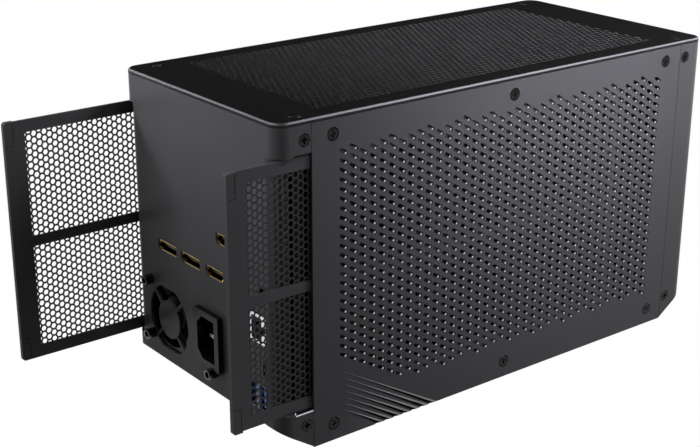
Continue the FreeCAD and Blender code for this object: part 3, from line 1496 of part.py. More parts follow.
def make_pump(fitting_y, hose_top):
    """Cold plate and pump on the graphics chip, and the two hoses up to the radiator."""
    plate_low = ground + card_top + chip_height
    plate_high = plate_low + plate_thick
    half_plate = plate_length / 2
    across = pump_radius + wall
    plate_end = pump_y + half_plate
    plate = box("cold_plate", (-across, pump_y - half_plate, plate_low), (across, plate_end, plate_high))
    pump = prism("pump_body", (0, pump_y, plate_high), pump_radius, pump_height, "z", BORE_SIDES)
    hose_z = plate_high + hose_radius + wall
    manifold = box(
        "pump_manifold",
        (-fitting_x - hose_radius - wall, pump_y, plate_high),
        (fitting_x + hose_radius + wall, plate_end, hose_z + hose_radius + wall),
    )
    stubs = []
    for side, word in ((-1, "left"), (1, "right")):
        start = (fitting_x * side, plate_end - wall, hose_z)
        reach = fitting_length + wall
        stubs.append(prism(f"pump_stub_{word}", start, fitting_radius, reach, "y", FITTING_SIDES))
    register(fuse("pump_parts", [plate, pump, manifold] + stubs), "pump_block")
    hoses = doc.addObject("Part::Feature", "hose_shapes")
    start_y = plate_end + fitting_length
    shapes = []
    for side in (-1, 1):
        ends = [amount.value for amount in (fitting_x * side, start_y, hose_z, fitting_y, hose_top)]
        shapes.append(hose_shape(*ends))
    hoses.Shape = Part.makeCompound(shapes)
    register(hoses, "coolant_hoses")


def hose_shape(x, start_y, low_z, end_y, high_z):
    """One hose: level out of the pump, one round bend, then straight up to the radiator."""
    bend = min(hose_bend.value, high_z - low_z - hose_straight.value)
    first = Vector(x, start_y, low_z)
    bend_in = Vector(x, end_y - bend, low_z)
    halfway = bend * (1 - math.cos(math.pi / 4))
    on_bend = Vector(x, end_y - halfway, low_z + halfway)
    bend_out = Vector(x, end_y, low_z + bend)
    last = Vector(x, end_y, high_z)
    bend_line = Part.Arc(bend_in, on_bend, bend_out).toShape()
    path = Part.Wire([Part.makeLine(first, bend_in), bend_line, Part.makeLine(bend_out, last)])
    corners = []
    for number in range(HOSE_SIDES + 1):
        angle = 2 * math.pi * number / HOSE_SIDES
        corners.append(first + Vector(math.cos(angle), 0, math.sin(angle)) * hose_radius.value)
    ring = Part.makePolygon(corners)
    return path.makePipeShell([ring], True, True)


def check_and_export():
    doc.recompute()
    faults = [item.Name for item in doc.Objects if {"Invalid", "Error"} & set(item.State)]
    for item in sub_parts:
        if item.Shape.isNull() or not item.Shape.isValid() or not item.Shape.Solids:
            faults.append(item.Label)
    if faults:
        raise RuntimeError(f"failed objects: {sorted(set(faults))}")
    os.makedirs("parts", exist_ok=True)
    for item in sub_parts:
        item.Shape.exportStep(f"parts/{item.Label}.step")
        print(item.Label, len(item.Shape.Solids), round(item.Shape.Volume, 1))


def main():
    doc.recompute()
    make_top_plate()
    make_rear_cover()
    make_front_cover()
    make_bottom_plate()
    make_side_panel(1, "right")
    make_side_panel(-1, "left")
    make_chassis_frame()
    make_filter(1, "right", right_pull)
    make_filter(-1, "left", left_pull)
    make_screws()
    make_feet()
    make_power_supply()
    make_small_fan()
    make_mains_inlet()
    make_video_sockets()
    make_graphics_board()
    make_port_board()
    make_network_socket()
    make_typec_socket()
    make_twin_socket()
    make_cooling()
    check_and_export()


main()
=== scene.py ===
import math
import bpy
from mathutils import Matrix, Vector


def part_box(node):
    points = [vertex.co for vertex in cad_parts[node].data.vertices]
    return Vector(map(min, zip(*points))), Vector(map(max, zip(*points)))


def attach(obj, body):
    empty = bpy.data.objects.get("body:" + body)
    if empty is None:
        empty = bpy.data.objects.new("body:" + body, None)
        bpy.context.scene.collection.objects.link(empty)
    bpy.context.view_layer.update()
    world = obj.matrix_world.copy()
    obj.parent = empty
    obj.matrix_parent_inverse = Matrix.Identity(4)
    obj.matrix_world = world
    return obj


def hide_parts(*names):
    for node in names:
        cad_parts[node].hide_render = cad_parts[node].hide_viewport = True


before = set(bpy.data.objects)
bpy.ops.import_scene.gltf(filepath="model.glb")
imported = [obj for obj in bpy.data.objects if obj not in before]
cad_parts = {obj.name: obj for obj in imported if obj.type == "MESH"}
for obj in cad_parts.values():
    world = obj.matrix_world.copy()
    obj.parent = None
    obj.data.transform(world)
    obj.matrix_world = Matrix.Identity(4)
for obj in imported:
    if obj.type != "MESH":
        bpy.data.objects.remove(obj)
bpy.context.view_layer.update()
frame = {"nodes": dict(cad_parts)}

from types import SimpleNamespace

import bmesh
import bpy
import numpy as np
from bpy.props import FloatProperty, FloatVectorProperty, IntProperty, PointerProperty
from bpy.types import Operator, Panel, PropertyGroup
from mathutils import Matrix, Vector
from mathutils.geometry import delaunay_2d_cdt

bl_info = {
    "name": "Graphics Card Enclosure",
    "version": (1, 0, 0),
    "blender": (4, 5, 0),
    "location": "View3D > Sidebar > Enclosure",
    "description": "Pierced panels, mesh filters, sockets, fans and finishes for an external graphics card enclosure",
    "category": "Add Mesh",
}


def box_mm(node):
    """Lowest and highest corner of a CAD node at rest, in millimetres."""
    low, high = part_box(node)
    return np.array(low) * 1000, np.array(high) * 1000


# The housing is symmetric about this y; everything below is in millimetres about it, from the floor up.
MIDDLE = float(sum(corner[1] for corner in box_mm("bottom_plate")) / 2)
FEET = float(box_mm("bottom_plate")[0][2])


def local_box(node):
    """A CAD node's corners in millimetres about the housing's middle."""
    return [corner - (0, MIDDLE, 0) for corner in box_mm(node)]


# ---- places that several pieces share, in millimetres; heights are from the housing's underside

SIDES = ((1, "right"), (-1, "left"))
SIDE_FACE = 70.5
PANEL_SCREWS_Y, PANEL_SCREWS_Z = (-118.5, 0, 118.5), (9.4, 162.2)
COLUMN_SCREWS_Y, COLUMN_SCREWS_Z = (-135.2, 135.2), (13.6, 162.2)
TOP_SCREWS = tuple((x, y) for x in (-62, 62) for y in (-134.5, 134.5))
SEAT_RADIUS, SEAT_POINTS, BORE_RADIUS = 3.5, 28, 1.65
HEXAGON = np.array([(1, 0), (0.5, 1), (-0.5, 1), (-1, 0), (-0.5, -1), (0.5, -1)], float)


# ---- sizes and colours a user would change


def linear(code):
    """An sRGB hex colour as linear numbers: c / 12.92 in the dark end, else ((c + 0.055) / 1.055) ^ 2.4."""
    channels = np.array([int(code[place:place + 2], 16) for place in (1, 3, 5)]) / 255
    return tuple(np.where(channels <= 0.04045, channels / 12.92, ((channels + 0.055) / 1.055) ** 2.4))


def length_setting(name, millimetres):
    """A length given in millimetres and kept in metres, a thousandth of it."""
    return FloatProperty(
        name=name, default=millimetres / 1000, min=0.00005, max=1, subtype="DISTANCE", unit="LENGTH", precision=4,
    )


def colour_setting(name, code):
    """A colour given as a hex code and kept as linear numbers."""
    return FloatVectorProperty(name=name, default=linear(code), min=0, max=1, size=3, subtype="COLOR")


class EnclosureSizes(PropertyGroup):
    slot_length: length_setting("Slot length", 5.6)
    slot_width: length_setting("Slot width", 1.85)
    slot_column: length_setting("Slot column pitch", 6.08)
    slot_drop: length_setting("Pitch of slots in a column", 4.85)
    slot_rise: length_setting("Rise from slot column to slot column", 1.312)
    groove_pitch: length_setting("Upright groove pitch", 3.52)
    groove_depth: length_setting("Groove depth at its lower end", 0.6)
    top_hole: length_setting("Top hole width", 3.0)
    top_pitch: length_setting("Top hole pitch in a row", 4.01)
    top_row: length_setting("Top row pitch", 3.87)
    bevel: length_setting("Top bevel width", 0.8)
    mesh_drop: length_setting("Upright mesh pitch", 3.7)
    mesh_column: length_setting("Mesh column pitch", 2.9)
    mesh_wire: length_setting("Width of the mesh web", 0.9)
    groove_count: IntProperty(name="Slanted grooves", default=7, min=1, max=12)


class EnclosureColours(PropertyGroup):
    panel: colour_setting("Side panels", "#47474b")
    shell: colour_setting("Covers", "#48484b")
    top: colour_setting("Top plate", "#0b0b0c")
    bevel: colour_setting("Polished bevel", "#525257")
    frame: colour_setting("Inner frame", "#161617")
    filter: colour_setting("Filters", "#464649")
    screw: colour_setting("Screws", "#101011")
    inlet: colour_setting("Mains inlet", "#0e0e0f")
    gold: colour_setting("Gold plating", "#ffe6a0")
    nickel: colour_setting("Nickel plating", "#d4d4d8")
    blue: colour_setting("Port tongue", "#4a9cff")
    rotor: colour_setting("Fan rotors", "#2c2c2e")
    board: colour_setting("Board", "#16301f")


def sizes_mm():
    """The size settings as plain numbers: each length times 1000, so in millimetres, and the groove count."""
    kept = bpy.context.scene.enclosure_sizes
    lengths = {key: getattr(kept, key) * 1000 for key in EnclosureSizes.__annotations__ if key != "groove_count"}
    return SimpleNamespace(**lengths, groove_count=kept.groove_count)


# ---- meshes


def grid_faces(rows, columns, close_columns=False):
    """Four-sided faces between the points (i, j), (i, j+1), (i+1, j+1) and (i+1, j) of a grid."""
    i = np.arange(rows - 1)[:, None]
    j = np.arange(columns if close_columns else columns - 1)[None, :]
    after = (j + 1) % columns
    corners = (i * columns + j, i * columns + after, (i + 1) * columns + after, (i + 1) * columns + j)
    return np.stack(np.broadcast_arrays(*corners), -1).reshape(-1, 4)


def tube_faces(rings, around, caps=(True, True)):
    """Faces between the rings of a tube, and many-sided ones that close its first and last ring where wanted."""
    ring = np.arange(around)
    ends = (ring[::-1], (rings - 1) * around + ring)
    return [grid_faces(rings, around, True)] + [end[None, :] for end, wanted in zip(ends, caps) if wanted]


def full_turn(count):
    """Angles of even steps round a circle: 2 pi n / count."""
    return np.arange(count) * 2 * np.pi / count


def build(name, parts, finishes, body="housing", replaces=(), sharp=32):
    """Joins parts, each of points in millimetres, blocks of faces and their finish, into one welded mesh object.

    Points that agree to a ten-thousandth of a millimetre become one, every shell is turned outwards,
    and edges flatter than the sharp angle, in degrees, are shaded smooth.
    """
    points, faces, numbers, start = [], [], [], 0
    for part_points, blocks, finish_number in parts:
        for block in blocks if isinstance(blocks, list) else [blocks]:
            rows = block.reshape(-1, block.shape[-1]) + start
            faces += rows.tolist()
            numbers.append(np.broadcast_to(np.ravel(finish_number), len(rows)))
        points.append(part_points.reshape(-1, 3))
        start += len(points[-1])
    cloud = np.concatenate(points)
    _, first, place = np.unique(np.round(cloud, 4), axis=0, return_index=True, return_inverse=True)
    place = place.reshape(-1)
    mesh = bpy.data.meshes.new(name)
    welded = [place[face].tolist() for face in faces]
    mesh.from_pydata(((cloud[first] + (0, MIDDLE, 0)) * 0.001).tolist(), [], welded)
    mesh.polygons.foreach_set("material_index", np.concatenate(numbers).astype(np.int32))
    work = bmesh.new()
    work.from_mesh(mesh)
    bmesh.ops.recalc_face_normals(work, faces=work.faces)
    work.to_mesh(mesh)
    work.free()
    mesh.polygons.foreach_set("use_smooth", np.ones(len(mesh.polygons), bool))
    mesh.set_sharp_from_angle(angle=math.radians(sharp))
    for each in finishes:
        mesh.materials.append(each)
    made = bpy.data.objects.new(name, mesh)
    bpy.context.scene.collection.objects.link(made)
    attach(made, body)
    if replaces:
        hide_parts(*replaces)


def loop_edges(loop):
    """Pairs of neighbouring points round each closed loop of an array of loops."""
    return np.stack([loop, np.roll(loop, -1, axis=1)], -1).reshape(-1, 2)


def triangulate(outline, groups):
    """Triangles that fill an outline less its convex holes; the points stay in order, outline first.

    A triangle whose three corners lie on one hole fills that hole, so it is dropped.
    """
    points = np.concatenate([outline] + [group.reshape(-1, 2) for group in groups])
    loops, start = [np.arange(len(outline))[None, :]], len(outline)
    owner = [np.full(len(outline), -1)]
    for group in groups:
        loops.append(start + np.arange(group.shape[0] * group.shape[1]).reshape(group.shape[:2]))
        owner.append(start + np.repeat(np.arange(group.shape[0]), group.shape[1]))
        start += loops[-1].size
    edges = np.concatenate([loop_edges(loop) for loop in loops])
    found = delaunay_2d_cdt([Vector(point) for point in points.tolist()], edges.tolist(), [], 1, 1e-6)
    if len(found[0]) != len(points):
        raise RuntimeError("the outline and its holes touch, so the sheet can't be filled")
    triangles = np.array(found[2])
    holders = np.concatenate(owner)[triangles]
    filled = (holders[:, 0] >= 0) & (holders[:, 0] == holders[:, 1]) & (holders[:, 0] == holders[:, 2])
    return points, triangles[~filled]


def ribbons(loops, depths, to_space):
    """Walls of many loops at once: each loop repeated at each depth, with faces between the copies.

    loops is (loops, points, 2) or (loops, depths, points, 2); the faces come as (loops, bands, points, 4).
    """
    if loops.ndim == 3:
        loops = np.repeat(loops[:, None], len(depths), axis=1)
    many, bands, around = loops.shape[:3]
    depth = np.broadcast_to(np.array(depths)[None, :, None], (many, bands, around))
    points = to_space(loops[..., 0], loops[..., 1], depth)
    index = np.arange(many * bands * around).reshape(many, bands, around)
    beside = np.roll(index, -1, axis=2)
    faces = np.stack([index[:, :-1], beside[:, :-1], beside[:, 1:], index[:, 1:]], -1)
    return points, faces


def flat(points, depth, to_space):
    """Points of a flat sheet, all at one depth."""
    return to_space(points[:, 0], points[:, 1], np.full(len(points), depth))


def pierced_sheet(outline, loops, front, back, to_space):
    """A sheet with convex openings: both faces, and a wall round the outline and round each opening."""
    sheet, triangles = triangulate(outline, [loops])
    parts = [(flat(sheet, depth, to_space), triangles, 0) for depth in (front, back)]
    return parts + [(*ribbons(ring, [front, back], to_space), 0) for ring in (outline[None], loops)]


def circles(centres, radius, count):
    """Rings of points (u + r cos t, v + r sin t) about each centre."""
    angle = full_turn(count)
    ring = radius * np.stack([np.cos(angle), np.sin(angle)], -1)
    return np.asarray(centres)[:, None, :] + ring


def rounded(low, high, radii, per_corner, inset=0.0):
    """A rectangle as one loop from its lower right corner round, each corner a quarter circle of its own radius.

    An inset moves the outline inwards and shrinks each radius by as much.
    """
    low, high = np.array(low) + inset, np.array(high) - inset
    sides = np.array([(1, -1), (1, 1), (-1, 1), (-1, -1)])
    corner = np.where(sides > 0, high, low)
    radius = np.maximum(np.array(radii, float) - inset, 0.02)[:, None]
    start = np.array([-90, 0, 90, 180])
    angle = np.radians(start[:, None] + np.linspace(0, 90, per_corner)[None, :])
    centre = corner - sides * radius
    ring = centre[:, None, :] + radius[:, None, :] * np.stack([np.cos(angle), np.sin(angle)], -1)
    return ring.reshape(-1, 2)


def turned(profile, count, to_space, caps=(True, True)):
    """A closed turned solid: a profile of (radius, height) pairs carried round an axis."""
    profile = np.array(profile, float)
    angle = full_turn(count)
    u = profile[:, 0][:, None] * np.cos(angle)
    v = profile[:, 0][:, None] * np.sin(angle)
    points = to_space(u, v, np.broadcast_to(profile[:, 1][:, None], u.shape))
    return points, tube_faces(len(profile), count, caps)


def facing(side, face):
    """A map from (u, v, depth) to space for a wall that faces along X: x = side (face - depth), y = u, z = v."""
    return lambda u, v, depth: np.stack(np.broadcast_arrays(side * (face - depth), u, v), -1)


def upward(face):
    """A map from (u, v, depth) to space for a plate that faces up: z = face - depth."""
    return lambda u, v, depth: np.stack(np.broadcast_arrays(u, v, face - depth), -1)


def backward(face):
    """A map from (u, v, depth) to space for what faces the rear: y = face + depth, x = u, z = v."""
    return lambda u, v, depth: np.stack(np.broadcast_arrays(u, face + depth, v), -1)


def shifted(centre, to_space):
    """The same map with u and v counted from a centre: it adds the centre to them."""
    return lambda u, v, depth: to_space(u + centre[0], v + centre[1], depth)


def screw_seat(centre, depth, thick, to_space):
    """A screw's seat in a sheet: a round recess with a narrower bore through what is left of the thickness."""
    profile = [(SEAT_RADIUS, 0), (SEAT_RADIUS, depth), (BORE_RADIUS, depth), (BORE_RADIUS, thick), (SEAT_RADIUS, thick)]
    return turned(profile, SEAT_POINTS, shifted(centre, to_space), (False, False))


# ---- finishes

BROAD_DETAIL, FINE_DETAIL = 2.0, 3.0
BUMP_STRENGTH = 0.6
SMOOTHEST = 0.02
# How much of a colour is left at the deep end of a painted shade.
PAINTED_SHADE_SHARE = 0.03
# A display socket's shell is bright at its rim; from here to here, in metres along Y, its colour darkens inwards, a
# painted shade for the socket's dark inside.
SOCKET_PAINTED_SHADE = (-0.1145, -0.1133)


def add_node(tree, kind, settings=None, inputs=None, links=None):
    """Adds one node, sets its own settings and input values, and links other nodes' outputs to its inputs."""
    made = tree.nodes.new(kind)
    for key, value in (settings or {}).items():
        setattr(made, key, value)
    for key, value in (inputs or {}).items():
        made.inputs[key].default_value = value
    for key, source in (links or {}).items():
        tree.links.new(source, made.inputs[key])
    return made


def surface(name, colour, roughness, metallic, grain, relief, mottle, cloud=0.03, spread=0.05, level=0.5, glow=0.0,
            fade=None):
    """A finish from two noises; all widths are in metres.

    The broad noise, as wide as the cloud, takes the colour from one minus the mottle to one plus the
    mottle of itself. The fine one, as wide as the grain, moves the roughness by the spread either way
    and gives the relief as a bump. The level is the specular one, and the glow is the colour sent out as
    light, which paints light on a part that is no lamp. The fade paints shade: it darkens the colour along Y between
    its two places.
    """
    made = bpy.data.materials.get(name)
    if made:
        return made
    made = bpy.data.materials.new(name)
    made.use_nodes = True
    tree = made.node_tree
    shader = tree.nodes["Principled BSDF"]
    constants = {"Metallic": metallic, "Specular IOR Level": level, "Emission Color": (*colour, 1),
                 "Emission Strength": glow}
    for socket, value in constants.items():
        shader.inputs[socket].default_value = value
    place = add_node(tree, "ShaderNodeTexCoord").outputs["Object"]
    broad, fine = (
        add_node(tree, "ShaderNodeTexNoise", {}, {"Scale": 1 / wide, "Detail": detail}, {"Vector": place}).outputs[0]
        for wide, detail in ((cloud, BROAD_DETAIL), (grain, FINE_DETAIL))
    )
    shades = [
        (*np.clip(np.array(tuple(colour)) * share, 0, 1), 1) for share in (1 - mottle, 1 + mottle, PAINTED_SHADE_SHARE)
    ]
    blend = add_node(tree, "ShaderNodeMix", {"data_type": "RGBA"}, {6: shades[0], 7: shades[1]}, {0: broad})
    # painted shade: the colour darkens towards the deep end of the span
    if fade:
        along = add_node(tree, "ShaderNodeSeparateXYZ", links={"Vector": place}).outputs["Y"]
        deep = add_node(tree, "ShaderNodeMapRange", {}, {"From Min": fade[0], "From Max": fade[1]}, {"Value": along})
        below = {0: deep.outputs["Result"], 6: blend.outputs[2]}
        blend = add_node(tree, "ShaderNodeMix", {"data_type": "RGBA"}, {7: shades[2]}, below)
    tree.links.new(blend.outputs[2], shader.inputs["Base Color"])
    rough = add_node(
        tree, "ShaderNodeMapRange", {}, {"To Min": max(roughness - spread, SMOOTHEST), "To Max": roughness + spread},
        {"Value": fine},
    )
    tree.links.new(rough.outputs["Result"], shader.inputs["Roughness"])
    bump = add_node(tree, "ShaderNodeBump", {}, {"Strength": BUMP_STRENGTH, "Distance": relief}, {"Height": fine})
    tree.links.new(bump.outputs["Normal"], shader.inputs["Normal"])
    return made


def finish(kind):
    """The finish of one material, made when it is first asked for.

    A recipe is a name, a colour, the roughness, the metallic share, the grain, the relief and the
    mottle, then what differs from the usual. The real grains are about a tenth of a millimetre; here
    they are wider, since finer ones are lost between the picture's pixels. The coats have a low
    specular level, since a full one would mirror the white floor and grey them.
    """
    c = bpy.context.scene.enclosure_colours
    recipes = {
        # steel sheet, sprayed and baked: an even satin grey with a soft sheen
        "panel": ("sprayed_steel_panel", c.panel, 0.36, 0.0, 9e-4, 3e-6, 0.04, {"spread": 0.04, "level": 0.06}),
        # the same coat on the pressed covers, a little smoother: a longer, clearer sheen
        "shell": ("sprayed_steel_cover", c.shell, 0.3, 0.0, 9e-4, 3e-6, 0.04, {"spread": 0.04, "level": 0.05}),
        # aluminium plate, anodised black: nearly black, with a duller gloss than the covers
        "top": ("anodised_aluminium_top", c.top, 0.4, 0.0, 8e-4, 3e-6, 0.06, {"level": 0.2}),
        # the plate's edge, cut after anodising: a bright line
        "bevel": ("cut_aluminium_bevel", c.bevel, 0.5, 1.0, 8e-4, 1e-6, 0.03, {}),
        # painted glint: a light colour with a glow that paints the reflection of the white room, on a slot's lower end
        # and a pocket's edge
        "cut": ("sheared_slot_wall", linear("#8c8c90"), 0.3, 0.0, 6e-4, 1e-6, 0.02, {"level": 0.3, "glow": 1.5}),
        # painted highlight: the crest of a pressed groove in a lighter grey, a soft light line
        "lip": ("sprayed_steel_crest", linear("#a4a4a8"), 0.4, 0.0, 9e-4, 4e-6, 0.05, {}),
        # painted shade: the coat deep in a groove or a screw seat, matt and nearly black
        "recess": ("sprayed_steel_recess", linear("#0a0a0b"), 0.7, 0.0, 9e-4, 4e-6, 0.1, {"level": 0.02}),
        # painted highlight: the wall of a punched hole in the top plate in a lighter grey, for the light on it
        "wall": ("punched_aluminium_wall", linear("#3a3a3d"), 0.4, 0.3, 6e-4, 2e-6, 0.05, {}),
        # folded steel, sprayed thinly out of sight: dull and dark behind the openings
        "frame": ("sprayed_steel_frame", c.frame, 0.6, 0.0, 1e-3, 6e-6, 0.08, {"level": 0.2}),
        # ABS, moulded in a lightly sparked tool: dull, soft edged
        "filter": ("moulded_filter_plastic", c.filter, 0.55, 0.0, 7e-4, 4e-6, 0.05, {"level": 0.12}),
        # painted shade: the thin web of the mesh, the same plastic in a darker grey, for its rounded edges turned from
        # the light
        "web": ("moulded_filter_web", linear("#38383b"), 0.55, 0.0, 7e-4, 4e-6, 0.05, {"level": 0.12}),
        # steel, blackened in a bath: a dark head with a faint gloss
        "screw": ("blackened_screw_steel", c.screw, 0.2, 0.3, 6e-4, 2e-6, 0.1, {"level": 0.25}),
        # nylon from a polished tool: black with a slight shine on its flange
        "inlet": ("moulded_inlet_nylon", c.inlet, 0.3, 0.0, 7e-4, 2e-6, 0.05, {"level": 0.12}),
        # steel shells, gold plated: a thin bright rim, then a painted shade that darkens the colour into the socket
        "gold": ("gold_plated_steel", c.gold, 0.2, 1.0, 8e-4, 2e-6, 0.05, {"fade": SOCKET_PAINTED_SHADE}),
        # steel, nickel plated in a drum: light and slightly soft in its gleam
        "nickel": ("nickel_plated_steel", c.nickel, 0.25, 1.0, 8e-4, 2e-6, 0.05, {}),
        # thin gold faces on a dark moulded tongue: a brown that flickers from contact to contact
        "pads": ("gilded_contact_block", linear("#43340f"), 0.3, 0.6, 5e-4, 3e-6, 0.3, {"cloud": 0.0012}),
        # tinned steel that has dulled: dark, with a few glints at its folds
        "dull": ("tinned_port_steel", linear("#3c3c40"), 0.25, 0.9, 8e-4, 2e-6, 0.1, {}),
        # cap screws with a black oxide and a film of oil: glossy black
        "cap": ("oiled_black_screw_steel", linear("#0c0c0d"), 0.12, 0.0, 6e-4, 1e-6, 0.1, {}),
        # coloured plastic tongues, with a glow that paints light on them so they stay blue in the shade of the port
        "blue": ("moulded_blue_plastic", c.blue, 0.4, 0.0, 6e-4, 3e-6, 0.04, {"glow": 0.2}),
        # glass filled plastic: a grey bloom over the blades
        "rotor": ("moulded_rotor_plastic", c.rotor, 0.45, 0.0, 8e-4, 4e-6, 0.06, {"level": 0.3}),
        # a black moulded connector body: even and half matt
        "contact": ("moulded_contact_block", linear("#0c0c0d"), 0.5, 0.0, 6e-4, 3e-6, 0.05, {}),
        # glass fibre board under lacquer: dark green with a wavy gloss
        "board": ("lacquered_board", c.board, 0.35, 0.0, 1.2e-3, 1e-5, 0.15, {}),
        # rubber from an unpolished tool: quite matt
        "rubber": ("moulded_foot_rubber", linear("#121213"), 0.8, 0.0, 8e-4, 2e-5, 0.1, {}),
        # extruded rubber: matt with a faint shine along the bend
        "hose": ("extruded_hose_rubber", linear("#141415"), 0.6, 0.0, 1e-3, 1e-5, 0.08, {}),
        # aluminium, dipped in black: dull over its fins
        "radiator": ("dipped_radiator_aluminium", linear("#151516"), 0.5, 0.3, 1e-3, 1e-5, 0.1, {}),
        # a smooth plastic cap: half matt black
        "pump": ("moulded_pump_plastic", linear("#19191b"), 0.4, 0.0, 8e-4, 4e-6, 0.05, {}),
    }
    *values, rest = recipes[kind]
    return surface(*values, **rest)


# The CAD nodes whose shape stays, by their finish.
DRESSED = {
    "shell": "rear_cover front_cover bottom_plate",
    "frame": "chassis_frame fan_plate power_supply_case",
    "inlet": "mains_inlet supply_fan_frame rear_fan_frame front_fan_frame",
    "nickel": "inlet_pins network_socket",
    "dull": "small_port_socket twin_port_socket",
    # the gold finish paints shade that darkens into each socket
    "gold": "display_socket_1 display_socket_2 display_socket_3 wide_video_socket",
    "pads": "display_socket_1_contacts display_socket_2_contacts display_socket_3_contacts wide_video_socket_contacts",
    "contact": "card_slot",
    # the blue finish glows, painted light
    "blue": "twin_port_tongues",
    "board": "graphics_board port_board",
    "radiator": "radiator",
    "pump": "pump_block",
}


def dress(node, kind):
    """Puts a finish on every material slot of a CAD node."""
    mesh = frame["nodes"][node].data
    if not mesh.materials:
        mesh.materials.append(None)
    for index in range(len(mesh.materials)):
        mesh.materials[index] = finish(kind)


# ---- the side panels

SLOPE = math.radians(30)
# The slots' field: where it starts, how high its first column starts, and its lowest and highest slot.
FIELD_REAR, FIELD_TOP, FIELD_LOW, FIELD_HIGH = -110.9, 151.8, 20.5, 154.4
# More columns and rows than the field can hold; what lies outside it is left out.
MOST_COLUMNS, MOST_ROWS = 38, 40
# Height of the field's slanted rear corner, and how far a slot may reach below it.
CORNER_TOP, CORNER_SLACK = 44.0, 1.0
# From a slot's lower end, where the pattern is counted, back to its centre.
SLOT_BACK = 1.45
# A slot's wall leans inwards at its lower tip: from this depth on, by this much at the back.
TIP_DEPTH, TIP_PULL = 0.85, 0.4
PANEL_SEAT = 1.2
# The lowest groove's start above the panel's lower edge.
GROOVE_LOW = 14.6
# One groove's four lines: how far down the pitch each starts, its share of the depth, and its
# further drop at the wide end. They bound a crest, a wall and a slow rise.
LINE_PLACE, LINE_DEPTH, LINE_DROP = (0, 0, 0, 0.92), (0, 0.05, 1.0, 0.3), (0, 0.32, 0.8, 0)
NARROW_END = 0.08
GROOVE_STEPS = 14
# Finishes of a panel: the coat, a painted glint, a painted shade and a painted highlight.
COATED, PAINTED_GLINT, DARK, CREST_HIGHLIGHT = range(4)


def slot_centres(sizes):
    """Centres of the slots: columns one pitch apart, each a little higher than the last, cut to the field.

    A slot is left out where its lower end would lie outside the field or below its slanted rear corner.
    """
    i, k = np.meshgrid(np.arange(MOST_COLUMNS), np.arange(MOST_ROWS), indexing="ij")
    y = FIELD_REAR + sizes.slot_column * i
    z = FIELD_TOP + sizes.slot_rise * i - sizes.slot_drop * k
    corner = CORNER_TOP - (y - FIELD_REAR) * math.tan(SLOPE)
    kept = (z > FIELD_LOW) & (z < FIELD_HIGH) & (z > corner - CORNER_SLACK)
    lower_end = np.stack([y[kept], z[kept] + FEET], -1)
    return lower_end - SLOT_BACK * np.array([math.cos(SLOPE), -math.sin(SLOPE)])


def slot_loops(centres, length, width, pull):
    """Slot outlines: two half circles joined by straight runs, turned down by the slope.

    The lower tip is drawn in by the pull times the cosine of the angle from it.
    """
    angle = np.radians(np.array([-90, -54, -18, 18, 54, 90, 90, 126, 162, 198, 234, 270]))
    half = len(angle) // 2
    reach = np.repeat([1, -1], half) * (length - width) / 2
    drawn = np.where(np.arange(len(angle)) < half, np.clip(np.cos(angle), 0, 1) * pull, 0)
    along, across = reach + np.cos(angle) * width / 2 - drawn, np.sin(angle) * width / 2
    ring = np.stack([
        along * math.cos(SLOPE) + across * math.sin(SLOPE),
        -along * math.sin(SLOPE) + across * math.cos(SLOPE),
    ], -1)
    return centres[:, None, :] + ring


def groove_patch(sizes, floor, to_space):
    """The grooved corner as a height field over (t, u): t counts grooves downwards, u runs along a groove.

    A line of the grid starts on the rear edge of the patch and runs down the slope to the panel's
    lower edge. Its depth is its share of the groove's depth times u to the power 0.8, and its
    further drop grows evenly with u, so each crest and wall widens along its run.
    """
    count, pitch = sizes.groove_count, sizes.groove_pitch
    t = np.concatenate([(np.arange(count)[:, None] + LINE_PLACE).ravel(), [count]])
    share = np.concatenate([np.tile(LINE_DEPTH, count), [0]])
    drop = np.concatenate([np.tile(LINE_DROP, count), [0]])
    u = np.linspace(0, 1, GROOVE_STEPS)
    widening = drop[:, None] * (NARROW_END + (1 - NARROW_END) * u)
    start = GROOVE_LOW + pitch * (count - 1) - (t[:, None] + widening) * pitch
    run = start * u
    y = FIELD_REAR + run / math.tan(SLOPE)
    z = floor + start - run
    sunk = sizes.groove_depth * share[:, None] * u[None, :] ** 0.8
    points = to_space(y, z, sunk)
    faces = grid_faces(len(t), len(u))
    # each groove: a painted highlight on its crest, painted shade on its wall, then the coat
    strips = np.array([CREST_HIGHLIGHT, DARK, COATED, COATED])[np.arange(len(t) - 1) % 4]
    border = np.concatenate([
        np.stack([y[-1, ::-1], z[-1, ::-1]], -1)[:-1],
        np.stack([y[::-1, 0], z[::-1, 0]], -1)[:-1],
        np.stack([y[0], z[0]], -1),
    ])
    ends = np.stack([y[:, -1], z[:, -1]], -1)
    return points, faces, np.repeat(strips, len(u) - 1), border, ends, sunk[:, -1]


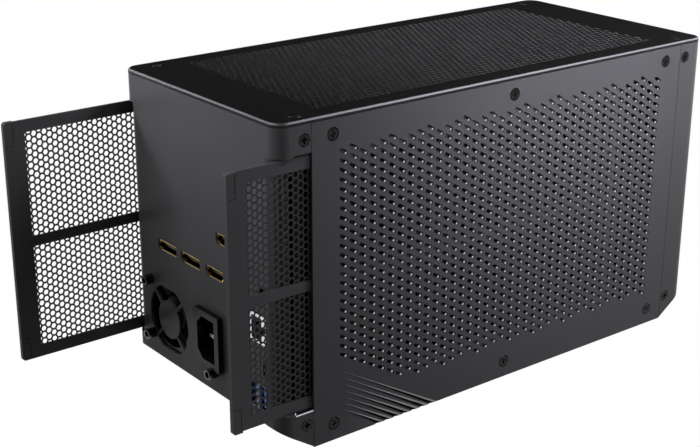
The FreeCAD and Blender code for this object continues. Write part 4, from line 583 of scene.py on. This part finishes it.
def side_panel(side, word):
    """One pierced panel: front and back sheets, slot walls, screw seats, the grooved corner and the edges."""
    sizes = sizes_mm()
    node = f"side_panel_{word}"
    low, high = local_box(node)
    thick = float(high[0] - low[0])
    to_space = facing(side, max(abs(low[0]), abs(high[0])))
    y0, y1, z0, z1 = low[1], high[1], low[2], high[2]
    patch, patch_faces, patch_finish, border, ends, sunk = groove_patch(sizes, z0, to_space)
    outline = np.concatenate([[(y0, z0)], border, [(y1, z0), (y1, z1), (y0, z1)]])
    centres = slot_centres(sizes)
    slots = slot_loops(centres, sizes.slot_length, sizes.slot_width, 0)
    drawn_in = slot_loops(centres, sizes.slot_length, sizes.slot_width, TIP_PULL)
    screws = [(y, z0 + z) for y in PANEL_SCREWS_Y for z in PANEL_SCREWS_Z]
    sheet, triangles = triangulate(outline, [slots, circles(screws, SEAT_RADIUS, SEAT_POINTS)])
    behind = sheet.copy()
    behind[len(outline):len(outline) + slots.size // 2] = drawn_in.reshape(-1, 2)
    parts = [
        (flat(sheet, 0, to_space), triangles, COATED), (flat(behind, thick, to_space), triangles, COATED),
        (patch, patch_faces, patch_finish),
    ]
    points, walls = ribbons(np.stack([slots, slots, drawn_in], 1), [0, TIP_DEPTH, thick], to_space)
    wall_finish = np.full(walls.shape[:3], COATED)
    # the two facets at the lower tip, in the leaning band, carry the painted glint
    wall_finish[:, 1, 1:3] = PAINTED_GLINT
    parts.append((points, walls, wall_finish))
    # each screw seat is lined with the painted shade
    for centre in screws:
        parts.append((*screw_seat(centre, PANEL_SEAT, thick, to_space), DARK))
    # edges all round; at the grooves' open ends they start from the grooves' depth
    before = np.concatenate([[(y0, z0)], border[:1]])
    after = np.concatenate([border[-1:], [(y1, z0), (y1, z1), (y0, z1), (y0, z0)]])
    for line, near in ((before, 0), (after, 0), (ends, sunk)):
        depths = np.stack(np.broadcast_arrays(near, np.full(len(line), thick)))
        parts.append((to_space(line[:, 0], line[:, 1], depths), grid_faces(2, len(line)), COATED))
    # the flat back of the grooved corner
    around = np.concatenate([border, ends[1:-1]])
    parts.append((flat(around, thick, to_space), np.arange(len(around))[None, :], COATED))
    finishes = [finish("panel"), finish("cut"), finish("recess"), finish("lip")]
    build(f"{node}_pierced", parts, finishes, "housing", [node])


# ---- the top plate

TOP_ROWS, TOP_COLUMNS, TOP_FIELD_HALF = 30, 61, 119.6
TOP_CORNER, TOP_CORNER_POINTS = 7.5, 10
# Half a hole's length from corner to corner, as a share of its width.
HOLE_REACH = 0.62
TOP_SEAT = 0.8
TOP_SHARP = 20


def top_plate():
    """The pierced plate: rounded corners, a polished bevel, rows of six-sided holes and four screw seats."""
    sizes = sizes_mm()
    low, high = local_box("top_plate")
    thick = float(high[2] - low[2])
    to_space = upward(high[2])
    outline = rounded(low[:2], high[:2], [TOP_CORNER] * 4, TOP_CORNER_POINTS, sizes.bevel)
    outer = rounded(low[:2], high[:2], [TOP_CORNER] * 4, TOP_CORNER_POINTS)
    i, j = np.meshgrid(np.arange(TOP_ROWS), np.arange(TOP_COLUMNS), indexing="ij")
    x = (i - (TOP_ROWS - 1) / 2) * sizes.top_row
    y = (j - TOP_COLUMNS // 2 + (i % 2) / 2) * sizes.top_pitch
    kept = np.abs(y) < TOP_FIELD_HALF
    centres = np.stack([x[kept], y[kept]], -1)
    holes = centres[:, None, :] + HEXAGON * np.array([sizes.top_hole * HOLE_REACH, sizes.top_hole / 2])
    sheet, triangles = triangulate(outline, [holes, circles(TOP_SCREWS, SEAT_RADIUS, SEAT_POINTS)])
    # the third finish, on the hole walls, is a painted highlight
    anodised, polished, punched = range(3)
    rim, rim_faces = ribbons(
        np.stack([outline, outer, outer, outline])[None], [0, sizes.bevel, thick, thick], to_space,
    )
    rim_finish = np.full(rim_faces.shape[:3], anodised)
    rim_finish[:, 0] = polished
    walls, wall_faces = ribbons(holes, [0, thick], to_space)
    parts = [
        (flat(sheet, 0, to_space), triangles, anodised), (flat(sheet, thick, to_space), triangles, anodised),
        (rim, rim_faces, rim_finish), (walls, wall_faces, punched),
    ]
    for centre in TOP_SCREWS:
        parts.append((*screw_seat(centre, TOP_SEAT, thick, to_space), anodised))
    finishes = [finish("top"), finish("bevel"), finish("wall")]
    build("top_plate_pierced", parts, finishes, "housing", ["top_plate"], TOP_SHARP)


# ---- the dust filters

GRIP, FILTER_PLATE, MESH_THICK = 5.6, 1.2, 0.5
# A window's distance from the filter's outer end, inner end and long edges, and half the bar between the two.
WINDOW_SETBACK, WINDOW_TAIL, WINDOW_BAR, HALF_BAR = 11.2, 6.4, 6.6, 2.8
# Corner radii, from lower right round: the frame is square where it meets the grip, the grip is rounded outside.
FRAME_CORNERS, GRIP_CORNERS, WINDOW_CORNERS = (0.6, 0.6, 0.02, 0.02), (0.2, 0.2, 1.6, 1.6), (0.8,) * 4
# Two slits by each end of the grip, an upright and a level one: opposite corners as distances from the
# outer edge and from the end.
GRIP_SLITS = (((GRIP - 0.95, 0.9), (GRIP - 0.6, 12.2)), ((1.2, 12.4), (GRIP - 0.6, 12.75)))
# The first cell's place in its window: a share of the column's pitch, and a drop.
MESH_START, MESH_DROP = 0.2, 0.4
# How far a cell's centre may lie past the window, so that the mesh ends under the frame.
MESH_PAST_Y, MESH_PAST_Z = 1.2, 1.6


def filter_mesh(low, high, middle, sizes, to_space):
    """A sheet of hexagonal cells: each cell is a ring between its own outline and a smaller hexagon."""
    drop, column = sizes.mesh_drop, sizes.mesh_column
    across, up = int((high[0] - low[0]) / column) + 2, int((high[1] - low[1]) / drop) + 2
    i, k = np.meshgrid(np.arange(across), np.arange(up), indexing="ij")
    y = low[0] + column * (i - MESH_START)
    z = low[1] + drop * (k + 0.5 * (i % 2)) - MESH_DROP
    kept = (y < high[0] + MESH_PAST_Y) & (z < high[1] + MESH_PAST_Z)
    centres = np.stack([y[kept], z[kept]], -1)[:, None, :]
    outer = HEXAGON * np.array([column / 1.5, drop / 2])
    inner = outer * (1 - sizes.mesh_wire / drop)
    front, back = middle - MESH_THICK / 2, middle + MESH_THICK / 2
    loops = np.stack([centres + outer, centres + inner, centres + inner, centres + outer], 1)
    return *ribbons(loops, [front, front, back, back], to_space), 0


def dust_filter(side, word):
    """A framed mesh filter with a thicker grip strip at its outer end, slit near both ends of the strip."""
    node, body, slot = f"filter_{word}", f"{word}_dust_filter", "filter_plastic"
    low, high = local_box(node)
    face, inner = max(abs(low[0]), abs(high[0])), min(abs(low[0]), abs(high[0]))
    to_space = facing(side, face)
    back = face - inner
    front = back - FILTER_PLATE
    y0, y1, z0, z1 = low[1], high[1], low[2], high[2]
    near, far, middle = y0 + WINDOW_SETBACK, y1 - WINDOW_TAIL, (z0 + z1) / 2
    windows = [
        ((near, z0 + WINDOW_BAR), (far, middle - HALF_BAR)), ((near, middle + HALF_BAR), (far, z1 - WINDOW_BAR)),
    ]
    loops = np.stack([rounded(a, b, WINDOW_CORNERS, 4) for a, b in windows])
    outline = rounded((y0 + GRIP, z0), (y1, z1), FRAME_CORNERS, 4)
    parts = pierced_sheet(outline, loops, front, back, to_space)
    build(f"{node}_frame", parts, [finish("filter")], body, [node])
    slits = []
    for end, inwards in ((z1, -1), (z0, 1)):
        for a, b in GRIP_SLITS:
            corners = np.array([(a[0], a[1]), (b[0], a[1]), (b[0], b[1]), (a[0], b[1])])
            slits.append(np.stack([y0 + corners[:, 0], end + inwards * corners[:, 1]], -1)[::inwards])
    strip = rounded((y0, z0), (y0 + GRIP, z1), GRIP_CORNERS, 6)
    parts = pierced_sheet(strip, np.stack(slits), 0, back, to_space)
    build(f"{node}_grip", parts, [finish("filter")], body, ())
    parts = [filter_mesh(a, b, front + FILTER_PLATE / 2, sizes_mm(), to_space) for a, b in windows]
    build(f"{node}_mesh", parts, [finish("web")], body, ())


# ---- screws

HEAD_POINTS, SHANK_POINTS, CAP_POINTS = 48, 16, 36
CAP_HEAD = 5.0
CAP_SCREWS = ((-51.0, 60.45), (-51.0, 28.45), (10.7, 27.5))
# A painted shade ring, a dark band in the seat round a column screw's head: its radius and its depths.
SHADE_RING_RADIUS, SHADE_RING_TOP, SHADE_RING_LOW = 3.47, 0.45, 0.75


def cross_screw(centre, to_space):
    """A flush screw head as a height field on a polar grid, with its shank below.

    The recess is the larger of two crossed grooves, each a smooth step across its width and along its arm.
    """
    radius = np.array([0.12, 0.4, 0.7, 1.0, 1.3, 1.5, 1.7, 1.9, 2.2, 2.6, 2.85, 3.0, 3.0])
    drop = np.array([0] * 10 + [0.06, 0.25, 0.8])
    half_width, flank, reach, end, deep = 0.55, 0.22, 1.9, 0.35, 0.75
    angle = full_turn(HEAD_POINTS)
    u, v = radius[:, None] * np.cos(angle), radius[:, None] * np.sin(angle)

    def arm(across, along):
        """One arm's share of the depth: a clipped step across times a clipped step along."""
        return np.clip((half_width - np.abs(across)) / flank, 0, 1) * np.clip((reach - np.abs(along)) / end, 0, 1)

    depth = deep * np.maximum(arm(u, v), arm(v, u)) + drop[:, None]
    points = to_space(u + centre[0], v + centre[1], depth)
    shank = turned([(1.45, 0.8), (1.45, 6.4), (1.1, 6.8)], SHANK_POINTS, shifted(centre, to_space))
    return [(points, tube_faces(len(radius), HEAD_POINTS), 0), (*shank, 0)]


def socket_screw(centre, face):
    """A cap screw: rounded edge, a knurl-free side and a hexagonal socket whose wall follows six flats."""
    angle = full_turn(CAP_POINTS)
    flats = 1.9 * math.cos(math.pi / 6) / np.cos(angle % (math.pi / 3) - math.pi / 6)
    rings = [(flats, 2.3), (flats, 0.1), (flats + 0.12, 0), (2.55, 0), (2.8, 0.1), (2.9, 0.4), (2.9, CAP_HEAD)]
    radius = np.stack([ring * np.ones(CAP_POINTS) for ring, _ in rings])
    depth = np.array([level for _, level in rings])[:, None]
    u, v = centre[0] + radius * np.cos(angle), centre[1] + radius * np.sin(angle)
    return backward(face)(u, v, depth), tube_faces(len(rings), CAP_POINTS), 0


# ---- fans

# Points along a blade, and along its section.
BLADE_STATIONS, CHORD_POINTS = 8, 9
BLADE_THICK, BLADE_CAMBER, BLADE_SINK, TIP_GAP = 1.5, 0.9, 0.6, 0.3
# A blade's chord as a share of its height, at the hub, and how much it gains towards the tip.
CHORD_AT_HUB, CHORD_GAIN = 1.15, 0.45
# A rotor wider than this is a radiator fan's, with the larger hub.
BIG_REACH, BIG_HUB, SMALL_HUB = 30, 20.0, 9.5
HUB_POINTS, ROTOR_SHARP = 48, 40


def fan_blades(count, hub, tip, span, sweep):
    """Blades as closed tubes: at each radius a cambered section, carried from the hub to the tip.

    At radius r and chord position s from 0 to 1 the angle is sweep (r) + (s - 1/2) chord / r, the
    height is span (1/2 - s) plus a camber of s (1 - s), and the thickness swells as the root of sin (pi s).
    """
    radii = np.linspace(hub - BLADE_SINK, tip, BLADE_STATIONS)
    s = np.linspace(0, 1, CHORD_POINTS)
    swell = BLADE_THICK * np.sqrt(np.sin(np.pi * s)) / 2
    fraction = (radii - hub) / (tip - hub)
    chord = span * (CHORD_AT_HUB + CHORD_GAIN * fraction)
    lead = np.radians(sweep) * fraction
    angle = lead[:, None] + (s - 0.5)[None, :] * (chord / radii)[:, None]
    height = span * (0.5 - s)[None, :] * np.ones_like(angle) + BLADE_CAMBER * (s * (1 - s))[None, :]
    section_angle = np.concatenate([angle, angle[:, -2:0:-1]], 1)
    rise = np.concatenate([height + swell, (height - swell)[:, -2:0:-1]], 1)
    faces = tube_faces(*section_angle.shape)
    blades = []
    for number in range(count):
        turn = section_angle + 2 * np.pi * number / count
        blades.append(((radii[:, None] * np.cos(turn), radii[:, None] * np.sin(turn), rise), faces))
    return blades


def fan_rotor(node, body, axis, blades, sweep):
    """A rotor with curved blades: a hub with a rounded cap and a blade ring inside the CAD rotor's reach."""
    low, high = local_box(node)
    centre = (low + high) / 2
    others = [n for n in range(3) if n != axis]
    reach = min(high[n] - low[n] for n in others) / 2
    depth = high[axis] - low[axis]
    big = reach > BIG_REACH
    hub = BIG_HUB if big else SMALL_HUB
    facing_up = 1 if axis == 2 else -1

    def to_space(u, v, w):
        """u and v from the rotor's centre across its axis, w along it."""
        cells = [None, None, None]
        cells[others[0]], cells[others[1]] = u + centre[others[0]], v + centre[others[1]]
        cells[axis] = centre[axis] + facing_up * w
        return np.stack(np.broadcast_arrays(*cells), -1)

    half = depth / 2 - (2.0 if big else 1.8)
    profile = [
        (hub, -half), (hub, half - 1.2), (hub - 0.4, half - 0.4), (hub - 1.2, half), (hub * 0.35, half),
        (hub * 0.3, half - 0.3),
    ]
    parts = [(*turned(profile, HUB_POINTS, to_space), 0)]
    for grid, faces in fan_blades(blades, hub, reach - TIP_GAP, (depth - 3) * 0.8, sweep):
        parts.append((to_space(*grid), faces, 0))
    build(f"{node}_moulded", parts, [finish("rotor")], body, [node], ROTOR_SHARP)


# ---- hoses, feet and the painted highlights on the pocket edges

# The hoses' radius here and in the CAD, whose many-sided hose reaches down less than its radius.
HOSE_RADIUS, CAD_HOSE_RADIUS, CAD_HOSE_REACH = 5.4, 5.5, 4.763
HOSE_ASIDE, HOSE_BEND, HOSE_POINTS, BEND_STEPS = 16, 16.0, 20, 9
# A finger pocket's edge, drawn as a glowing strip that paints its highlight: where it runs along y, how far it lies
# below the filter, and its strip's sizes.
POCKET_REAR, POCKET_FRONT, POCKET_DROP = -142.4, -131.3, 1.6
STRIP_TALL, STRIP_TICK, TICK_WIDE, STRIP_FRONT, STRIP_BACK = 0.5, 2.2, 0.4, 0.05, 0.4


def hoses():
    """Two hoses: level out of the pump, a quarter turn up, then straight to the radiator.

    Each is a circle carried along the path, its frame turned with the bend's angle.
    """
    low, high = local_box("coolant_hoses")
    y0, y1, z1 = low[1], high[1] - CAD_HOSE_RADIUS, high[2]
    z0 = low[2] + CAD_HOSE_REACH
    bend = min(HOSE_BEND, z1 - z0 - 0.5)
    turn = np.linspace(0, math.pi / 2, BEND_STEPS)
    path_y = np.concatenate([np.linspace(y0, y1 - bend, 3)[:-1], y1 - bend + bend * np.sin(turn), [y1]])
    path_z = np.concatenate([[z0, z0], z0 + bend * (1 - np.cos(turn)), [z1]])
    lean = np.concatenate([[0, 0], turn, [math.pi / 2]])[:, None]
    angle = full_turn(HOSE_POINTS)
    parts = []
    for x in (-HOSE_ASIDE, HOSE_ASIDE):
        ring_x = x + HOSE_RADIUS * np.cos(angle)[None, :] + 0 * lean
        ring_y = path_y[:, None] - HOSE_RADIUS * np.sin(angle)[None, :] * np.sin(lean)
        ring_z = path_z[:, None] + HOSE_RADIUS * np.sin(angle)[None, :] * np.cos(lean)
        parts.append((np.stack([ring_x, ring_y, ring_z], -1), tube_faces(len(lean), HOSE_POINTS), 0))
    build("coolant_hoses_smooth", parts, [finish("hose")], "housing", ["coolant_hoses"])


def feet():
    """Four round pads, each a turned profile with a softened lower edge and a shallow dish."""
    profile = [(2, 0.5), (5.6, 0.5), (6.1, 0), (7.2, 0), (7.8, 0.5), (7.9, 3.0)]
    for number in range(1, 5):
        node = f"rubber_foot_{number}"
        low, high = local_box(node)
        centre = (low + high) / 2
        to_space = lambda u, v, height: np.stack([u + centre[0], v + centre[1], low[2] + height], -1)
        parts = [(*turned(profile, 40, to_space), 0)]
        build(f"foot_pad_{number}", parts, [finish("rubber")], "housing", [node])


def pocket_edges():
    """A glowing strip, a painted highlight on the lower edge of each finger pocket, with a short upright end: two
    joined bars.
    """
    for side, word in SIDES:
        low, high = POCKET_REAR, POCKET_FRONT
        ledge = local_box(f"filter_{word}")[0][2] - POCKET_DROP
        bend = np.array([
            (low, ledge), (high, ledge), (high, ledge + STRIP_TALL), (low + TICK_WIDE, ledge + STRIP_TALL),
            (low + TICK_WIDE, ledge + STRIP_TICK), (low, ledge + STRIP_TICK),
        ])
        points, _ = ribbons(bend[None], [STRIP_FRONT, STRIP_BACK], facing(side, SIDE_FACE))
        parts = [(points, tube_faces(2, len(bend)), 0)]
        build(f"pocket_edge_painted_highlight_{word}", parts, [finish("cut")], "housing", ())


# ---- operators


class BuildSidePanels(Operator):
    """Two side panels with their slots, slanted grooves and screw seats"""
    bl_idname = "enclosure.side_panels"
    bl_label = "Side panels"

    def execute(self, context):
        for side, word in SIDES:
            side_panel(side, word)
        return {"FINISHED"}


class BuildTopPlate(Operator):
    """The pierced top plate with its polished bevel"""
    bl_idname = "enclosure.top_plate"
    bl_label = "Top plate"

    def execute(self, context):
        top_plate()
        return {"FINISHED"}


class BuildFilters(Operator):
    """Two pull-out dust filters with hexagonal mesh"""
    bl_idname = "enclosure.dust_filters"
    bl_label = "Dust filters"

    def execute(self, context):
        for side, word in SIDES:
            dust_filter(side, word)
        return {"FINISHED"}


class BuildScrews(Operator):
    """Flush cross-recess screws and the supply's cap screws"""
    bl_idname = "enclosure.screws"
    bl_label = "Screws"

    def execute(self, context):
        top = upward(local_box("top_plate")[1][2])
        parts = [part for place in TOP_SCREWS for part in cross_screw(place, top)]
        build("top_screws_crossed", parts, [finish("screw")], "housing", ["top_screws"])
        for side, word in SIDES:
            places = [(y, FEET + z) for y in PANEL_SCREWS_Y for z in PANEL_SCREWS_Z]
            parts = [part for place in places for part in cross_screw(place, facing(side, SIDE_FACE))]
            name = f"panel_screws_{word}"
            build(f"{name}_crossed", parts, [finish("screw")], "housing", [name])
        parts = []
        for side, _ in SIDES:
            to_space = facing(side, SIDE_FACE)
            for place in [(y, FEET + z) for y in COLUMN_SCREWS_Y for z in COLUMN_SCREWS_Z]:
                parts += cross_screw(place, to_space)
                # the dark ring of painted shade in the seat
                ring = [(SHADE_RING_RADIUS, SHADE_RING_TOP), (SHADE_RING_RADIUS, SHADE_RING_LOW)]
                parts.append((*turned(ring, SEAT_POINTS, shifted(place, to_space)), 1))
        finishes = [finish("screw"), finish("recess")]
        build("column_screws_crossed", parts, finishes, "housing", ["column_screws"])
        face = local_box("supply_screws")[0][1]
        parts = [socket_screw(place, face) for place in CAP_SCREWS]
        build("cap_screws", parts, [finish("cap")], "housing", ["supply_screws"])
        return {"FINISHED"}


class BuildFans(Operator):
    """Curved rotors of the supply fan and the two radiator fans"""
    bl_idname = "enclosure.fans"
    bl_label = "Fans"

    def execute(self, context):
        fan_rotor("supply_fan_rotor", "supply_fan", 1, 7, 20)
        fan_rotor("rear_fan_rotor", "rear_fan", 2, 9, 28)
        fan_rotor("front_fan_rotor", "front_fan", 2, 9, 28)
        return {"FINISHED"}


class BuildSmallParts(Operator):
    """Hoses, rubber feet and the painted highlights on the edges of the finger pockets"""
    bl_idname = "enclosure.small_parts"
    bl_label = "Hoses, feet and pocket edges"

    def execute(self, context):
        hoses()
        feet()
        pocket_edges()
        return {"FINISHED"}


class DressFrame(Operator):
    """Finishes on the CAD nodes whose shape stays"""
    bl_idname = "enclosure.finishes"
    bl_label = "Finishes"

    def execute(self, context):
        for kind, nodes in DRESSED.items():
            for node in nodes.split():
                dress(node, kind)
        return {"FINISHED"}


# ---- the stage

# The photographed view: camera place in millimetres about the housing's middle, and its angles in radians.
VIEW_PLACE = (577.243, -503.001, 354.019)
VIEW_YAW = 0.909105643
VIEW_PITCH = 0.351938923
VIEW_ROLL = 0.00136544496
FOCAL_PIXELS = 1408.517
IMAGE_WIDTH = 700
SENSOR_WIDTH = 36
VIEW_REACH = 50
FLOOR_REACH = 30.0
# The floor's paper: its shades where light bounces off it, its grain, and how much of what the
# camera and the reflections see is plain white. The rest of it holds the object's shadow.
PAPER_DARK, PAPER_LIGHT, PAPER_SCALE, WHITE_SHARE = 0.3, 0.34, 600.0, 0.995
WORLD_STRENGTH = 0.01
# The lamps are placed and aimed from this height above the floor, in metres.
TARGET_HEIGHT = 0.09
# Soft round lamps: name, place and aim in metres from the object's middle, width in metres, spread in
# degrees, power in watts. The aimed ones brighten the upper ends of the side and the rear face.
LAMPS = (
    ("side_light", (0.30, 0.30, 0.50), (0, 0, 0), 0.25, 180, 3.3),
    ("rear_light", (-0.30, -0.50, 0.90), (0, 0, 0), 0.6, 180, 4.6),
    ("side_sweep", (0.60, 0.05, 0.40), (0.07, 0.10, 0.16), 0.3, 32, 0.42),
    ("side_edge_sweep", (0.60, 0.10, 0.25), (0.07, 0.02, 0.19), 0.3, 25, 0.15),
    ("rear_sweep", (-0.30, -0.55, 0.35), (-0.07, -0.15, 0.15), 0.2, 25, 0.14),
    ("rear_right_sweep", (-0.15, -0.60, 0.30), (0.04, -0.15, 0.12), 0.2, 16, 0.035),
    ("left_light", (-0.90, -0.35, 0.35), (0, 0, 0), 0.5, 180, 3.0),
    ("front_light", (0.10, 0.75, 0.40), (0, 0, 0), 0.4, 60, 0.5),
)


class BuildStage(Operator):
    """Camera, pale floor and soft studio light"""
    bl_idname = "enclosure.stage"
    bl_label = "Stage"

    def execute(self, context):
        scene = context.scene
        camera = bpy.data.objects.new("photo_camera", bpy.data.cameras.new("photo_camera"))
        camera.data.sensor_width = SENSOR_WIDTH
        camera.data.lens = FOCAL_PIXELS * SENSOR_WIDTH / IMAGE_WIDTH
        camera.data.clip_end = VIEW_REACH
        yaw, pitch, roll = VIEW_YAW, VIEW_PITCH, VIEW_ROLL
        ahead = Vector((-math.sin(yaw) * math.cos(pitch), math.cos(yaw) * math.cos(pitch), -math.sin(pitch)))
        level = Vector((math.cos(yaw), math.sin(yaw), 0))
        up = level.cross(ahead)
        right = level * math.cos(roll) + up * math.sin(roll)
        above = up * math.cos(roll) - level * math.sin(roll)
        turn = Matrix((right, above, -ahead)).transposed().to_4x4()
        spot = Vector((VIEW_PLACE[0], VIEW_PLACE[1] + MIDDLE, VIEW_PLACE[2])) / 1000
        camera.matrix_world = Matrix.Translation(spot) @ turn
        scene.collection.objects.link(camera)
        scene.camera = camera
        mesh = bpy.data.meshes.new("floor")
        corners = [(x * FLOOR_REACH, y * FLOOR_REACH, 0) for x, y in ((-1, -1), (1, -1), (1, 1), (-1, 1))]
        mesh.from_pydata(corners, [], [(0, 1, 2, 3)])
        mesh.materials.append(floor_finish())
        floor = bpy.data.objects.new("floor", mesh)
        scene.collection.objects.link(floor)
        target = Vector((0, MIDDLE / 1000, TARGET_HEIGHT))
        for name, place, aim, size, spread, power in LAMPS:
            lamp = bpy.data.lights.new(name, "AREA")
            lamp.shape, lamp.size, lamp.energy, lamp.spread = "DISK", size, power, math.radians(spread)
            made = bpy.data.objects.new(name, lamp)
            made.location = target + Vector(place)
            made.rotation_euler = (Vector(aim) - Vector(place)).to_track_quat("-Z", "Y").to_euler()
            scene.collection.objects.link(made)
        world = bpy.data.worlds.new("studio")
        world.use_nodes = True
        sky = world.node_tree.nodes["Background"].inputs
        sky["Color"].default_value = (1, 1, 1, 1)
        sky["Strength"].default_value = WORLD_STRENGTH
        scene.world = world
        scene.view_settings.view_transform = "Standard"
        return {"FINISHED"}


def floor_finish():
    """White paper: seen directly or in a reflection it is white, less the object's soft shadow."""
    made = bpy.data.materials.new("white_paper_floor")
    made.use_nodes = True
    tree = made.node_tree
    tree.nodes.clear()
    path = add_node(tree, "ShaderNodeLightPath").outputs
    seen = path["Is Camera Ray"]
    for ray in ("Is Glossy Ray", "Is Transmission Ray"):
        seen = add_node(tree, "ShaderNodeMath", {"operation": "MAXIMUM"}, {}, {0: seen, 1: path[ray]}).outputs[0]
    share = add_node(tree, "ShaderNodeMath", {"operation": "MULTIPLY"}, {1: WHITE_SHARE}, {0: seen})
    place = add_node(tree, "ShaderNodeTexCoord").outputs["Object"]
    fibre = add_node(tree, "ShaderNodeTexNoise", {}, {"Scale": PAPER_SCALE}, {"Vector": place})
    shade = add_node(
        tree, "ShaderNodeMix", {"data_type": "RGBA"}, {6: (*[PAPER_DARK] * 3, 1), 7: (*[PAPER_LIGHT] * 3, 1)},
        {0: fibre.outputs["Fac"]},
    )
    paper = add_node(tree, "ShaderNodeBsdfDiffuse", {}, {}, {"Color": shade.outputs[2]})
    glow = add_node(tree, "ShaderNodeEmission", {}, {"Color": (1, 1, 1, 1), "Strength": 1.0})
    blend = add_node(
        tree, "ShaderNodeMixShader", {}, {},
        {0: share.outputs[0], 1: paper.outputs[0], 2: glow.outputs[0]},
    )
    add_node(tree, "ShaderNodeOutputMaterial", {}, {}, {"Surface": blend.outputs[0]})
    return made


# ---- the add-on

STEPS = (
    BuildStage, BuildSidePanels, BuildTopPlate, BuildFilters, BuildScrews, BuildFans, BuildSmallParts, DressFrame,
)


class EnclosurePanel(Panel):
    """Lists the steps that build the enclosure"""
    bl_idname = "VIEW3D_PT_enclosure"
    bl_label = "Graphics Card Enclosure"
    bl_space_type = "VIEW_3D"
    bl_region_type = "UI"
    bl_category = "Enclosure"

    def draw(self, context):
        for step in STEPS:
            self.layout.operator(step.bl_idname)
        for settings in (context.scene.enclosure_sizes, context.scene.enclosure_colours):
            box = self.layout.box()
            for key in settings.__annotations__:
                box.prop(settings, key)


CLASSES = (EnclosureSizes, EnclosureColours, *STEPS, EnclosurePanel)


def register():
    for each in CLASSES:
        bpy.utils.register_class(each)
    bpy.types.Scene.enclosure_sizes = PointerProperty(type=EnclosureSizes)
    bpy.types.Scene.enclosure_colours = PointerProperty(type=EnclosureColours)


def unregister():
    del bpy.types.Scene.enclosure_colours
    del bpy.types.Scene.enclosure_sizes
    for each in reversed(CLASSES):
        bpy.utils.unregister_class(each)


def main():
    register()
    for step in STEPS:
        group, name = step.bl_idname.split(".")
        getattr(getattr(bpy.ops, group), name)()


if __name__ == "__main__":
    main()
